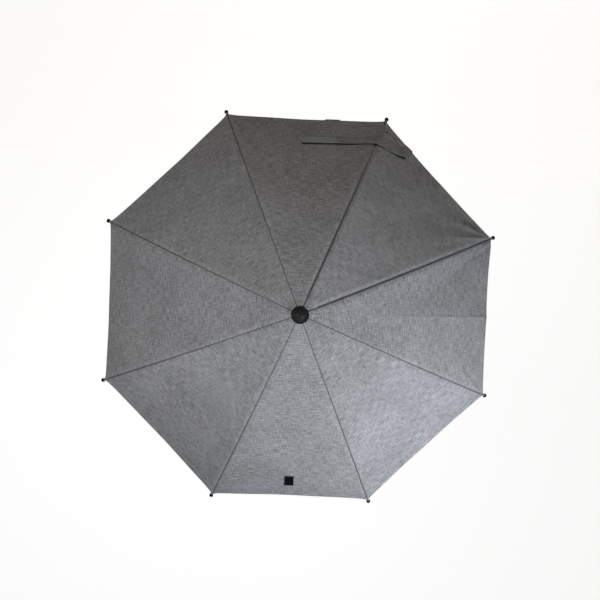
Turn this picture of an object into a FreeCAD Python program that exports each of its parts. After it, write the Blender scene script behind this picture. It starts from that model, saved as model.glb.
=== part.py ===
"""Pram parasol: eight ribs and a sewn canopy on a tilting stick, held by a screw clamp on a pram tube.

Millimetres and degrees. The origin is on the axis of the pram tube, which runs along Y.
The stick stands along +Z and the canopy is open.
"""
import FreeCAD, Part
import math
import os

# Canopy frame
RIB_COUNT = 8
PIVOT_RADIUS = 12.0
RIB_LENGTH = 368.0
CROWN_SLOPE = 12.0
TIP_SLOPE = 33.0
JOINT_ALONG = 165.0
JOINT_DROP = 0.9
FOLD_ANGLE = 67.0

# Rib channel, open on its underside
RIB_WIDTH = 3.0
RIB_HEIGHT = 2.6
RIB_WALL = 0.6
RIB_START = 4.6
EYE_RADIUS = 1.6
EYE_THICKNESS = 1.4
EYE_BAR_HEIGHT = 2.0
RIVET_RADIUS = 1.0
RIVET_HEAD_RADIUS = 1.7
RIVET_HEAD_HEIGHT = 0.6

# Stretcher channel, which takes the rib between its walls
STRETCHER_WALL = 0.8
STRETCHER_SIDE_CLEARANCE = 0.3
STRETCHER_WEB_CLEARANCE = 0.4
STRETCHER_LIP = 1.6
STRETCHER_END_RADIUS = 2.1
WEB_START = 6.0
RIVET_CLEARANCE = 0.1
HEAD_CLEARANCE = 0.1

# Ball tips
TIP_BALL_RADIUS = 3.4
TIP_NECK_RADIUS = 2.0
TIP_TANG_LENGTH = 9.0
TIP_CLEARANCE = 0.1

# Crown and runner hubs with their pivot wires
WIRE_RADIUS = 0.6
WIRE_CLEARANCE = 0.1
SLOT_CLEARANCE = 0.3
FLANGE_RADIUS = 14.2
FLANGE_ABOVE = 0.9
FLANGE_BELOW = 2.3
CROWN_SLEEVE_RADIUS = 8.0
CROWN_SLEEVE_LENGTH = 16.0
CROWN_BOSS_RADIUS = 6.6
CROWN_BOSS_HEIGHT = 6.0
TUBE_PROUD = 3.0
RUNNER_SLEEVE_RADIUS = 8.2
RUNNER_SLEEVE_LENGTH = 34.0
RUNNER_BOSS_HEIGHT = 6.0
RUNNER_FOOT_RADIUS = 9.2
RUNNER_FOOT_HEIGHT = 3.0
GRIP_GROOVES = 5
GRIP_GROOVE_WIDTH = 1.6
GRIP_GROOVE_DEPTH = 0.7
GRIP_PITCH = 4.0
RUNNER_CLEARANCE = 0.15
PRESS_CLEARANCE = 0.04

# Canopy fabric
FABRIC_GAP = 0.6
FABRIC_THICKNESS = 0.8
FABRIC_HOLE_RADIUS = 8.4
FABRIC_TIP_MARGIN = 9.0
RIB_PAST_FABRIC = 1.2
HEM_HOLLOW = 1.0
MID_GORE = 0.5
PANEL_GAP = 0.3

# Closure strap on the second rib's panel, and label on the sixth rib's panel
STRAP_RIB = 2
STRAP_WIDTH = 16.0
STRAP_THICKNESS = 1.0
STRAP_FROM_HEM = 35.0
STRAP_DRIFT = 4.0
STRAP_FREE_REACH = 120.0
STRAP_BEND_REACH = 46.0
STRAP_BEND_FROM_HEM = 15.0
STRAP_ROOT_REACH = 58.0
TRIM_GAP = 0.3
LABEL_RIB = 6
LABEL_WIDTH = 15.5
LABEL_HEIGHT = 23.0
LABEL_THICKNESS = 0.6
LABEL_FROM_HEM = 25.0
LABEL_OFF_MIDDLE = 3.4

# Top cap
CAP_RADIUS = 13.0
CAP_RIM = 1.8
CAP_DOME_RADIUS = 11.0
CAP_STEP = 0.6
CAP_HEIGHT = 12.0
CAP_GAP = 0.3

# Stick tubes
STICK_RADIUS = 5.0
STICK_WALL = 0.8
TILT_HEIGHT = 245.0
RUNNER_PARK_GAP = 7.0

# Catch that holds the runner up
CATCH_THICKNESS = 1.6
CATCH_LENGTH = 24.0
CATCH_REACH = 2.6
CATCH_SLOT_CLEARANCE = 0.3
CATCH_GAP = 0.2

# Tilt joint
KNUCKLE_RADIUS = 10.0
KNUCKLE_WIDTH = 17.0
TONGUE_THICKNESS = 7.0
EAR_THICKNESS = 7.2
EAR_CLEARANCE = 0.3
KNUCKLE_SHOULDER = 13.0
SHOULDER_RIM = 3.0
SLEEVE_RADIUS = 9.0
SLEEVE_END_RADIUS = 8.0
SLEEVE_LENGTH = 28.0
SLEEVE_GRIP = 24.0
TILT_PIN_RADIUS = 2.5
PIN_CLEARANCE = 0.06
PIN_HEAD_RADIUS = 4.4
PIN_HEAD_HEIGHT = 1.6
BUTTON_RADIUS = 5.0
BUTTON_LENGTH = 4.0
BUTTON_PROUD = 1.8
BUTTON_TRAVEL = 1.5
BUTTON_CLEARANCE = 0.2
BUTTON_FLOOR_GAP = 0.4
SPRING_THICKNESS = 0.4
SPRING_RADIUS = 3.6

# Socket that holds the stick, swivelling on the clamp
SWIVEL_HEIGHT = 46.0
SWIVEL_RADIUS = 12.0
SOCKET_TONGUE = 10.0
SOCKET_SHOULDER = 14.0
SOCKET_RADIUS = 9.6
SOCKET_LENGTH = 64.0
SOCKET_FLOOR = 6.0
SOCKET_CLEARANCE = 0.12
SOCKET_COLLAR_RADIUS = 11.0
SOCKET_COLLAR_HEIGHT = 6.0
BOSS_RADIUS = 6.5
BOSS_REACH = 15.0
BOSS_DROP = 18.0
PLUG_FLANGE = 3.0
PLUG_SPIGOT = 9.0
PLUG_GAP = 0.2
EAR_WIDTH = 6.0
SWIVEL_BOLT_RADIUS = 3.0
BOLT_CLEARANCE = 0.08
BOLT_HEAD_RADIUS = 6.0
BOLT_HEAD_HEIGHT = 3.0
BOLT_THREAD = 8.0

# Thumb screws and knobs
KNOB_GAP = 0.3
SCREW_RADIUS = 3.0
SCREW_CLEARANCE = 0.1
SCREW_TIP_GAP = 0.1
KNOB_RADIUS = 11.0
KNOB_HEIGHT = 11.0
KNOB_HUB_RADIUS = 6.0
KNOB_HUB_HEIGHT = 3.0
KNOB_ROUND = 2.0
KNOB_LOBES = 6
KNOB_SCALLOP = 4.0
SOCKET_KNOB_RADIUS = 9.0

# Clamp for a pram tube
PRAM_TUBE_RADIUS = 15.0
PAD_THICKNESS = 3.0
FIXED_PAD_FROM = 122.0
FIXED_PAD_TO = 238.0
JAW_PAD_HALF = 42.0
CLAMP_WIDTH = 26.0
CLAMP_WALL = 8.0
BRIDGE_CLEARANCE = 2.0
JAW_DEPTH = 11.0
JAW_HALF_HEIGHT = 14.0
JAW_GUIDE_GAP = 0.3
JAW_GUIDE_LAP = 2.75
JAW_OPENING = 14.0
JAW_STOP_GAP = 1.0
SCREW_LEG = 10.0
CLAMP_SCREW_RADIUS = 4.0
SCREW_SOCKET_DEPTH = 4.0
SCREW_SOCKET_CLEARANCE = 0.15
SCREW_COLLAR = 3.0
CLAMP_KNOB_RADIUS = 16.0
CLAMP_KNOB_HEIGHT = 14.0
JAW_CLOSING = 6.0
KNOB_TRAVEL_GAP = 2.0
CLAMP_CORNER = 7.0
CLAMP_INNER_CORNER = 2.0

# Small bevels
BEVEL = 1.0
FINE_BEVEL = 0.6

# Places that follow from the sizes above
Z_AXIS = FreeCAD.Vector(0, 0, 1)
Y_AXIS = FreeCAD.Vector(0, 1, 0)
X_AXIS = FreeCAD.Vector(1, 0, 0)
GORE = 360.0 / RIB_COUNT
ARC_RADIUS = RIB_LENGTH / math.radians(TIP_SLOPE - CROWN_SLOPE)
ARC_CENTRE_R = PIVOT_RADIUS - ARC_RADIUS * math.sin(math.radians(CROWN_SLOPE))
ARC_CENTRE_DROP = ARC_RADIUS * math.cos(math.radians(CROWN_SLOPE))
FABRIC_IN = RIB_HEIGHT / 2 + FABRIC_GAP
FABRIC_OUT = FABRIC_IN + FABRIC_THICKNESS
FABRIC_LENGTH = RIB_LENGTH - FABRIC_TIP_MARGIN
RIB_END = FABRIC_LENGTH + RIB_PAST_FABRIC
JOINT_ANGLE = math.radians(CROWN_SLOPE) + JOINT_ALONG / ARC_RADIUS
JOINT_R = ARC_CENTRE_R + (ARC_RADIUS - JOINT_DROP) * math.sin(JOINT_ANGLE)
JOINT_FALL = ARC_CENTRE_DROP - (ARC_RADIUS - JOINT_DROP) * math.cos(JOINT_ANGLE)
STRETCHER_LENGTH = math.hypot(JOINT_R - PIVOT_RADIUS, JOINT_FALL)
OPEN_LEAN = math.degrees(math.atan2(JOINT_R - PIVOT_RADIUS, JOINT_FALL))
OPEN_DROP = 2 * STRETCHER_LENGTH * math.cos(math.radians(OPEN_LEAN))
CLOSED_DROP = 2 * STRETCHER_LENGTH * math.cos(math.radians(OPEN_LEAN - FOLD_ANGLE))
RUNNER_REACH = CLOSED_DROP + FLANGE_BELOW + RUNNER_SLEEVE_LENGTH
CROWN_Z = TILT_HEIGHT + KNUCKLE_SHOULDER + SLEEVE_LENGTH + RUNNER_PARK_GAP + RUNNER_REACH
ARC_CENTRE_Z = CROWN_Z - ARC_CENTRE_DROP
JOINT_Z = CROWN_Z - JOINT_FALL
RUNNER_Z = CROWN_Z - OPEN_DROP
RUNNER_FOOT_Z = RUNNER_Z - FLANGE_BELOW - RUNNER_SLEEVE_LENGTH
STRETCHER_INNER = RIB_WIDTH / 2 + STRETCHER_SIDE_CLEARANCE
STRETCHER_OUTER = STRETCHER_INNER + STRETCHER_WALL
WEB_LOW = RIB_HEIGHT / 2 - JOINT_DROP + STRETCHER_WEB_CLEARANCE
TUBE_TOP_Z = CROWN_Z + CROWN_BOSS_HEIGHT + TUBE_PROUD
EAR_INNER = TONGUE_THICKNESS / 2 + EAR_CLEARANCE
EAR_OUTER = EAR_INNER + EAR_THICKNESS
UPPER_TUBE_FOOT = TILT_HEIGHT + KNUCKLE_SHOULDER + SLEEVE_LENGTH - SLEEVE_GRIP
LOWER_TUBE_TOP = TILT_HEIGHT - KNUCKLE_SHOULDER - SLEEVE_LENGTH + SLEEVE_GRIP
BUTTON_FACE = EAR_OUTER + BUTTON_PROUD
BUTTON_BACK = BUTTON_FACE - BUTTON_LENGTH
POCKET_FLOOR = BUTTON_BACK - BUTTON_TRAVEL - BUTTON_FLOOR_GAP
SOCKET_BASE = SWIVEL_HEIGHT + SOCKET_SHOULDER
SOCKET_TOP = SOCKET_BASE + SOCKET_LENGTH
STICK_FOOT = SOCKET_BASE + SOCKET_FLOOR + PLUG_GAP
LOWER_TUBE_FOOT = STICK_FOOT + PLUG_FLANGE
BOSS_Z = SOCKET_TOP - BOSS_DROP
SWIVEL_EAR_INNER = SOCKET_TONGUE / 2 + EAR_CLEARANCE
SWIVEL_EAR_OUTER = SWIVEL_EAR_INNER + EAR_WIDTH
PAD_SEAT = PRAM_TUBE_RADIUS + PAD_THICKNESS
CLAMP_OUTER = PAD_SEAT + CLAMP_WALL
BRIDGE_BOTTOM = PAD_SEAT + BRIDGE_CLEARANCE
BRIDGE_TOP = BRIDGE_BOTTOM + CLAMP_WALL
JAW_BACK = PAD_SEAT + JAW_DEPTH
LEG_X = JAW_BACK + SCREW_COLLAR + JAW_OPENING + JAW_STOP_GAP
LEG_END = LEG_X + SCREW_LEG
SCREW_INNER_END = JAW_BACK - SCREW_SOCKET_DEPTH + SCREW_TIP_GAP
CLAMP_KNOB_X = LEG_END + JAW_CLOSING + KNOB_TRAVEL_GAP


def cylinder(radius, length, base, axis=Z_AXIS):
    return Part.makeCylinder(radius, length, base, axis)


def block(x_from, x_to, y_from, y_to, z_from, z_to):
    corner = FreeCAD.Vector(x_from, y_from, z_from)
    return Part.makeBox(x_to - x_from, y_to - y_from, z_to - z_from, corner)


def face_from(points):
    """Flat face through a list of points; a pair in the list is an arc's middle and end point."""
    edges = []
    start = points[0]
    for step in points[1:]:
        if isinstance(step, tuple):
            middle, end = step
            edges.append(Part.Arc(start, middle, end).toShape())
        else:
            end = step
            edges.append(Part.makeLine(start, end))
        start = end
    if not start.isEqual(points[0], Part.Precision.confusion()):
        edges.append(Part.makeLine(start, points[0]))
    return Part.Face(Part.Wire(edges))


def turned(outline):
    """Solid of revolution about Z from (radius, height) points; a pair of points is an arc."""
    def place(point):
        return FreeCAD.Vector(point[0], 0, point[1])

    points = []
    for step in outline:
        if isinstance(step[0], tuple):
            points.append((place(step[0]), place(step[1])))
        else:
            points.append(place(step))
    return face_from(points).revolve(FreeCAD.Vector(0, 0, 0), Z_AXIS, 360)


def dome(radius, base, top):
    """Arc of a round dome in (radius, height): its middle and its top, from the rim at this radius."""
    rise = top - base
    ball = (radius ** 2 + rise ** 2) / (2 * rise)
    half_turn = math.atan2(radius, ball - rise) / 2
    return (ball * math.sin(half_turn), top - ball + ball * math.cos(half_turn)), (0, top)


def aim(shape, base, axis):
    """Move a shape built up from the origin along Z so that it starts at base and points along axis."""
    moved = shape.copy()
    moved.Placement = FreeCAD.Placement(base, FreeCAD.Rotation(Z_AXIS, axis))
    return moved


def spin(shape, azimuth):
    """Turn a shape built in the XZ plane to its rib's azimuth about the stick."""
    turned_shape = shape.copy()
    turned_shape.rotate(FreeCAD.Vector(0, 0, 0), Z_AXIS, azimuth)
    return turned_shape


def tube(outer, wall, z_from, z_to):
    solid = cylinder(outer, z_to - z_from, FreeCAD.Vector(0, 0, z_from))
    return solid.cut(cylinder(outer - wall, z_to - z_from, FreeCAD.Vector(0, 0, z_from)))


def azimuth_of(index):
    return GORE / 2 + GORE * (index - 1)


def arc_place(along, lift):
    """Radius and height of the point this far along the rib's arc and this far above it."""
    angle = math.radians(CROWN_SLOPE) + along / ARC_RADIUS
    radius = ARC_CENTRE_R + (ARC_RADIUS + lift) * math.sin(angle)
    return radius, ARC_CENTRE_Z + (ARC_RADIUS + lift) * math.cos(angle)


def arc_point(along, lift=0.0, side=0.0):
    radius, height = arc_place(along, lift)
    return FreeCAD.Vector(radius, side, height)


def plate(outline, half_thickness):
    """Flat plate in the XZ plane, equally thick to both sides of it."""
    low = [point - Y_AXIS * half_thickness for point in outline]
    return face_from(low).extrude(Y_AXIS * (2 * half_thickness))


def bar_outline(start, end, half_height):
    """Corners of a straight bar in the XZ plane between two points."""
    along = (end - start).normalize()
    up = FreeCAD.Vector(-along.z, 0, along.x) * half_height
    return [start - up, end - up, end + up, start + up]


def swept_along_rib(profile, start, end):
    """Solid with a closed profile of sideways and lift, carried along the rib's arc."""
    corners = [arc_point(start, lift, side) for side, lift in profile]
    centre = FreeCAD.Vector(ARC_CENTRE_R, 0, ARC_CENTRE_Z)
    return face_from(corners).revolve(centre, Y_AXIS, math.degrees((end - start) / ARC_RADIUS))


def make_rib():
    """Curved channel with a flat eyelet at the crown and the stretcher's rivet through it."""
    half = RIB_WIDTH / 2
    inner = half - RIB_WALL
    top = RIB_HEIGHT / 2
    profile = [(half, -top), (half, top), (-half, top), (-half, -top),
               (-inner, -top), (-inner, top - RIB_WALL), (inner, top - RIB_WALL), (inner, -top)]
    channel = swept_along_rib(profile, RIB_START, RIB_END)
    pivot = arc_point(0)
    bar = bar_outline(pivot, arc_point(2 * RIB_START), EYE_BAR_HEIGHT / 2)
    eyelet = plate(bar, EYE_THICKNESS / 2)
    side = Y_AXIS * (EYE_THICKNESS / 2)
    eyelet = eyelet.fuse(cylinder(EYE_RADIUS, EYE_THICKNESS, pivot - side, Y_AXIS))
    hole = cylinder(WIRE_RADIUS + WIRE_CLEARANCE, EYE_THICKNESS, pivot - side, Y_AXIS)
    joint = FreeCAD.Vector(JOINT_R, 0, JOINT_Z)
    reach = STRETCHER_OUTER + HEAD_CLEARANCE
    rib = channel.fuse([eyelet, cylinder(RIVET_RADIUS, 2 * reach, joint - Y_AXIS * reach, Y_AXIS)])
    for direction in (Y_AXIS, -Y_AXIS):
        head = cylinder(RIVET_HEAD_RADIUS, RIVET_HEAD_HEIGHT, joint + direction * reach, direction)
        rib = rib.fuse(head)
    return rib.cut(hole)


def make_stretcher():
    """Straight channel from the rib's rivet down to the runner's wire, open on its underside."""
    joint = FreeCAD.Vector(JOINT_R, 0, JOINT_Z)
    foot = FreeCAD.Vector(PIVOT_RADIUS, 0, RUNNER_Z)
    along = (foot - joint).normalize()
    up = FreeCAD.Vector(along.z, 0, -along.x)
    wall_end = STRETCHER_LENGTH - FLANGE_RADIUS + PIVOT_RADIUS - EYE_RADIUS - SLOT_CLEARANCE

    def strip(from_joint, low, high):
        return [joint + along * from_joint + up * low, joint + along * wall_end + up * low,
                joint + along * wall_end + up * high, joint + along * from_joint + up * high]

    pieces = [plate(strip(WEB_START, WEB_LOW, WEB_LOW + STRETCHER_WALL), STRETCHER_OUTER)]
    for side in (-STRETCHER_OUTER, STRETCHER_INNER):
        wall = [point + Y_AXIS * side for point in strip(0, -STRETCHER_LIP, WEB_LOW + STRETCHER_WALL)]
        pieces.append(face_from(wall).extrude(Y_AXIS * STRETCHER_WALL))
        pieces.append(cylinder(STRETCHER_END_RADIUS, STRETCHER_WALL, joint + Y_AXIS * side, Y_AXIS))
    half_bar = EYE_BAR_HEIGHT / 2
    bar_lift = up * (WEB_LOW + STRETCHER_WALL / 2 - half_bar)
    bar_from = joint + along * (wall_end - 2 * RIB_START) + bar_lift
    bar_to = joint + along * wall_end + bar_lift
    bar = [bar_from - up * half_bar, bar_to - up * half_bar, foot - up * half_bar,
           foot + up * half_bar, bar_to + up * half_bar, bar_from + up * half_bar]
    pieces.append(plate(bar, EYE_THICKNESS / 2))
    side = Y_AXIS * (EYE_THICKNESS / 2)
    pieces.append(cylinder(EYE_RADIUS, EYE_THICKNESS, foot - side, Y_AXIS))
    rivet_hole = cylinder(RIVET_RADIUS + RIVET_CLEARANCE, 2 * STRETCHER_OUTER,
                          joint - Y_AXIS * STRETCHER_OUTER, Y_AXIS)
    wire_hole = cylinder(WIRE_RADIUS + WIRE_CLEARANCE, EYE_THICKNESS, foot - side, Y_AXIS)
    return pieces[0].fuse(pieces[1:]).cut([rivet_hole, wire_hole])


def make_rib_tip():
    """Ball end with a thin neck, and a tang pushed into the rib's channel."""
    start = arc_point(RIB_END + TIP_CLEARANCE)
    ball_centre = arc_point(RIB_LENGTH)
    neck = cylinder(TIP_NECK_RADIUS, (ball_centre - start).Length, start, (ball_centre - start).normalize())
    ball = Part.makeSphere(TIP_BALL_RADIUS, ball_centre)
    half = RIB_WIDTH / 2 - RIB_WALL - TIP_CLEARANCE
    low = -RIB_HEIGHT / 2
    high = RIB_HEIGHT / 2 - RIB_WALL - TIP_CLEARANCE
    profile = [(half, low), (half, high), (-half, high), (-half, low)]
    tang = swept_along_rib(profile, RIB_END - TIP_TANG_LENGTH, RIB_LENGTH - TIP_BALL_RADIUS)
    return neck.fuse([ball, tang])


def panel_section(share, along_from, along_to, low, high, shift=0.0):
    """Closed outline across the fabric, at a share of the way from the rib to its neighbour.

    A share of 0 lies on the rib, a half in mid-gore. Shift moves the outline off the mid-gore plane.
    """
    swing = math.radians(math.copysign(GORE, share))
    reach = abs(share)
    along_x = 1 - reach + reach * math.cos(swing)
    along_y = reach * math.sin(swing)
    middle = math.copysign(math.radians(GORE / 2), share)
    sideways = FreeCAD.Vector(math.sin(middle), -math.cos(middle), 0) * math.copysign(shift, share)

    def place(along, lift):
        radius, height = arc_place(along, lift)
        return FreeCAD.Vector(radius * along_x, radius * along_y, height) + sideways

    half_way = (along_from + along_to) / 2
    start = place(along_from, low)
    end = place(along_to, high)
    return Part.Wire([
        Part.Arc(start, place(half_way, low), place(along_to, low)).toShape(),
        Part.makeLine(place(along_to, low), end),
        Part.Arc(end, place(half_way, high), place(along_from, high)).toShape(),
        Part.makeLine(place(along_from, high), start),
    ])


def hem_along(share):
    """How far along the rib's arc the hem lies: hollowed towards mid-gore."""
    return FABRIC_LENGTH - HEM_HOLLOW * (1 - (1 - 2 * abs(share)) ** 2)


def make_canopy_panel():
    """Fabric from mid-gore to mid-gore, ridged on its rib."""
    hole_along = FABRIC_HOLE_RADIUS - PIVOT_RADIUS
    sections = []
    for share in (-MID_GORE, -MID_GORE / 2, 0.0, MID_GORE / 2, MID_GORE):
        shift = PANEL_GAP / 2 if abs(share) == MID_GORE else 0.0
        sections.append(panel_section(share, hole_along, hem_along(share), FABRIC_IN, FABRIC_OUT, shift))
    return Part.makeLoft(sections, True, True)


def gore_width(along):
    """Straight distance between neighbouring ribs this far along them."""
    return 2 * arc_place(along, 0)[0] * math.sin(math.radians(GORE / 2))


def make_strap():
    """Fabric band from the hem of one gore, over the rib, to the middle of the next gore."""
    low = FABRIC_OUT + TRIM_GAP
    high = low + STRAP_THICKNESS
    top = FABRIC_LENGTH - STRAP_FROM_HEM
    width = gore_width(top)
    root_share = -STRAP_ROOT_REACH / width
    free_share = STRAP_FREE_REACH / width
    sections = []
    for share, along in (
        (root_share, hem_along(root_share)),
        (-STRAP_BEND_REACH / width, FABRIC_LENGTH - STRAP_BEND_FROM_HEM),
        (0.0, top),
        (free_share / 2, top - STRAP_DRIFT / 2),
        (free_share, top - STRAP_DRIFT),
    ):
        sections.append(panel_section(share, along - STRAP_WIDTH, along, low, high))
    return Part.makeLoft(sections, True, True)


def make_hem_label():
    """Plain woven label beside mid-gore, a little above the hem."""
    low = FABRIC_OUT + TRIM_GAP
    bottom = hem_along(MID_GORE) - LABEL_FROM_HEM
    half_share = LABEL_WIDTH / 2 / gore_width(bottom)
    middle = MID_GORE - LABEL_OFF_MIDDLE / gore_width(bottom)
    sections = []
    for share in (middle - half_share, middle, middle + half_share):
        sections.append(panel_section(share, bottom - LABEL_HEIGHT, bottom, low, low + LABEL_THICKNESS))
    return Part.makeLoft(sections, True, True)


def wire_ring(height, radius):
    return Part.makeTorus(PIVOT_RADIUS, radius, FreeCAD.Vector(0, 0, height))


def cut_hub(hub, height, bore):
    """Bore a hub for the stick, and cut its wire groove and the slots for the eyelets."""
    hub = hub.cut(cylinder(bore, 2 * CROWN_Z, FreeCAD.Vector(0, 0, 0)))
    hub = hub.cut(wire_ring(height, WIRE_RADIUS + PRESS_CLEARANCE))
    inner = PIVOT_RADIUS - EYE_RADIUS - SLOT_CLEARANCE
    half = EYE_THICKNESS / 2 + SLOT_CLEARANCE
    slot = block(inner, 2 * FLANGE_RADIUS, -half, half, height - FLANGE_RADIUS, height + EYE_RADIUS * 2)
    slots = [spin(slot, azimuth_of(index)) for index in range(1, RIB_COUNT + 1)]
    return hub.cut(slots)


def make_crown():
    """Hub at the top of the stick, with a slotted flange for the ribs' eyelets."""
    chamfer = FLANGE_ABOVE / 2
    hub = turned([
        (0, CROWN_Z - FLANGE_BELOW - CROWN_SLEEVE_LENGTH),
        (CROWN_SLEEVE_RADIUS - chamfer, CROWN_Z - FLANGE_BELOW - CROWN_SLEEVE_LENGTH),
        (CROWN_SLEEVE_RADIUS, CROWN_Z - FLANGE_BELOW - CROWN_SLEEVE_LENGTH + chamfer),
        (CROWN_SLEEVE_RADIUS, CROWN_Z - FLANGE_BELOW),
        (FLANGE_RADIUS, CROWN_Z - FLANGE_BELOW),
        (FLANGE_RADIUS, CROWN_Z + FLANGE_ABOVE - chamfer),
        (FLANGE_RADIUS - chamfer, CROWN_Z + FLANGE_ABOVE),
        (CROWN_BOSS_RADIUS, CROWN_Z + FLANGE_ABOVE),
        (CROWN_BOSS_RADIUS, CROWN_Z + CROWN_BOSS_HEIGHT),
        (0, CROWN_Z + CROWN_BOSS_HEIGHT),
    ])
    return cut_hub(hub, CROWN_Z, STICK_RADIUS + PRESS_CLEARANCE)


def make_runner():
    """Sliding hub with a slotted flange for the stretchers' eyelets and a grooved grip below it."""
    foot = RUNNER_FOOT_Z
    hub = turned([
        (0, foot),
        (RUNNER_FOOT_RADIUS, foot),
        (RUNNER_FOOT_RADIUS, foot + RUNNER_FOOT_HEIGHT),
        (RUNNER_SLEEVE_RADIUS, foot + RUNNER_FOOT_HEIGHT + RUNNER_FOOT_RADIUS - RUNNER_SLEEVE_RADIUS),
        (RUNNER_SLEEVE_RADIUS, RUNNER_Z - FLANGE_BELOW),
        (FLANGE_RADIUS, RUNNER_Z - FLANGE_BELOW),
        (FLANGE_RADIUS, RUNNER_Z + FLANGE_ABOVE),
        (RUNNER_SLEEVE_RADIUS, RUNNER_Z + FLANGE_ABOVE),
        (RUNNER_SLEEVE_RADIUS, RUNNER_Z + RUNNER_BOSS_HEIGHT - BEVEL),
        (RUNNER_SLEEVE_RADIUS - BEVEL, RUNNER_Z + RUNNER_BOSS_HEIGHT),
        (0, RUNNER_Z + RUNNER_BOSS_HEIGHT),
    ])
    floor = RUNNER_SLEEVE_RADIUS - GRIP_GROOVE_DEPTH
    first = foot + 2 * RUNNER_FOOT_HEIGHT
    for number in range(GRIP_GROOVES):
        groove_z = first + number * GRIP_PITCH
        ring = tube(RUNNER_FOOT_RADIUS, RUNNER_FOOT_RADIUS - floor, groove_z, groove_z + GRIP_GROOVE_WIDTH)
        hub = hub.cut(ring)
    return cut_hub(hub, RUNNER_Z, STICK_RADIUS + RUNNER_CLEARANCE)


def make_top_cap():
    """Domed cap with a thin rim that sits on the fabric and closes the stick."""
    slope = math.tan(math.radians(CROWN_SLOPE))
    edge_radius, edge_z = arc_place(CAP_RADIUS - PIVOT_RADIUS, FABRIC_OUT + CAP_GAP)
    rim_z = edge_z + (edge_radius - CAP_RADIUS) * slope
    inner = CROWN_BOSS_RADIUS + PRESS_CLEARANCE
    inner_z = rim_z + (CAP_RADIUS - inner) * slope
    dome_z = rim_z + CAP_RIM + CAP_STEP
    return turned([
        (inner, inner_z),
        (CAP_RADIUS, rim_z),
        (CAP_RADIUS, rim_z + CAP_RIM - FINE_BEVEL),
        (CAP_RADIUS - FINE_BEVEL, rim_z + CAP_RIM),
        (CAP_DOME_RADIUS, rim_z + CAP_RIM),
        (CAP_DOME_RADIUS, dome_z),
        dome(CAP_DOME_RADIUS, dome_z, rim_z + CAP_HEIGHT),
        (0, TUBE_TOP_Z + CAP_GAP),
        (STICK_RADIUS + PRESS_CLEARANCE, TUBE_TOP_Z + CAP_GAP),
        (STICK_RADIUS + PRESS_CLEARANCE, CROWN_Z + CROWN_BOSS_HEIGHT),
        (inner, CROWN_Z + CROWN_BOSS_HEIGHT),
    ])


def make_top_spring():
    """Bent flat spring in the stick whose shoulder stops the runner from sliding down."""
    top = RUNNER_FOOT_Z - CATCH_GAP
    out = STICK_RADIUS + CATCH_REACH
    back = -(STICK_RADIUS - STICK_WALL - CATCH_GAP)
    shin = CATCH_THICKNESS
    points = [
        FreeCAD.Vector(back, 0, top - CATCH_LENGTH - shin),
        FreeCAD.Vector(STICK_RADIUS - STICK_WALL - shin, 0, top - CATCH_LENGTH - shin),
        FreeCAD.Vector(out, 0, top - shin),
        FreeCAD.Vector(out, 0, top),
        FreeCAD.Vector(out - 2 * shin, 0, top),
        FreeCAD.Vector(STICK_RADIUS - STICK_WALL - 2 * shin, 0, top - CATCH_LENGTH),
        FreeCAD.Vector(back, 0, top - CATCH_LENGTH),
    ]
    return plate(points, CATCH_THICKNESS / 2)


def make_upper_tube():
    """Thin tube from the tilt joint to the cap, slotted for the catch."""
    shaft = tube(STICK_RADIUS, STICK_WALL, UPPER_TUBE_FOOT, TUBE_TOP_Z)
    half = CATCH_THICKNESS / 2 + CATCH_SLOT_CLEARANCE
    top = RUNNER_FOOT_Z + CATCH_SLOT_CLEARANCE
    slot = block(0, 2 * STICK_RADIUS, -half, half, top - CATCH_LENGTH - 2 * CATCH_THICKNESS, top)
    return shaft.cut(slot)


def make_lower_tube():
    return tube(STICK_RADIUS, STICK_WALL, LOWER_TUBE_FOOT, LOWER_TUBE_TOP)


def make_end_plug():
    """Plastic plug that closes the foot of the stick."""
    bore = STICK_RADIUS - STICK_WALL - PRESS_CLEARANCE
    return turned([
        (0, STICK_FOOT),
        (STICK_RADIUS - BEVEL, STICK_FOOT),
        (STICK_RADIUS, STICK_FOOT + BEVEL),
        (STICK_RADIUS, LOWER_TUBE_FOOT),
        (bore, LOWER_TUBE_FOOT),
        (bore, LOWER_TUBE_FOOT + PLUG_SPIGOT),
        (0, LOWER_TUBE_FOOT + PLUG_SPIGOT),
    ])


def knuckle_plate(y_from, y_to, upward):
    """Round-ended plate about the tilt axis, running up or down to a sleeve."""
    centre = FreeCAD.Vector(0, y_from, TILT_HEIGHT)
    disc = cylinder(KNUCKLE_RADIUS, y_to - y_from, centre, Y_AXIS)
    half = KNUCKLE_WIDTH / 2
    if upward:
        shank = block(-half, half, y_from, y_to, TILT_HEIGHT, TILT_HEIGHT + KNUCKLE_SHOULDER)
    else:
        shank = block(-half, half, y_from, y_to, TILT_HEIGHT - KNUCKLE_SHOULDER, TILT_HEIGHT)
    return disc.fuse(shank)


def knuckle_sleeve(sign):
    """Sleeve that grips a tube's end, flared to the knuckle's shoulder; sign is 1 above the tilt axis."""
    shoulder = KNUCKLE_SHOULDER
    end = shoulder + SLEEVE_LENGTH
    flare = math.hypot(KNUCKLE_WIDTH / 2, EAR_OUTER)
    outline = [
        (0, shoulder),
        (flare - BEVEL, shoulder),
        (flare, shoulder + BEVEL),
        (flare, shoulder + SHOULDER_RIM),
        (SLEEVE_RADIUS, shoulder + SHOULDER_RIM + flare - SLEEVE_RADIUS),
        (SLEEVE_END_RADIUS, end - BEVEL),
        (SLEEVE_END_RADIUS - BEVEL, end),
        (0, end),
    ]
    return turned([(radius, TILT_HEIGHT + sign * height) for radius, height in outline])


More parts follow.
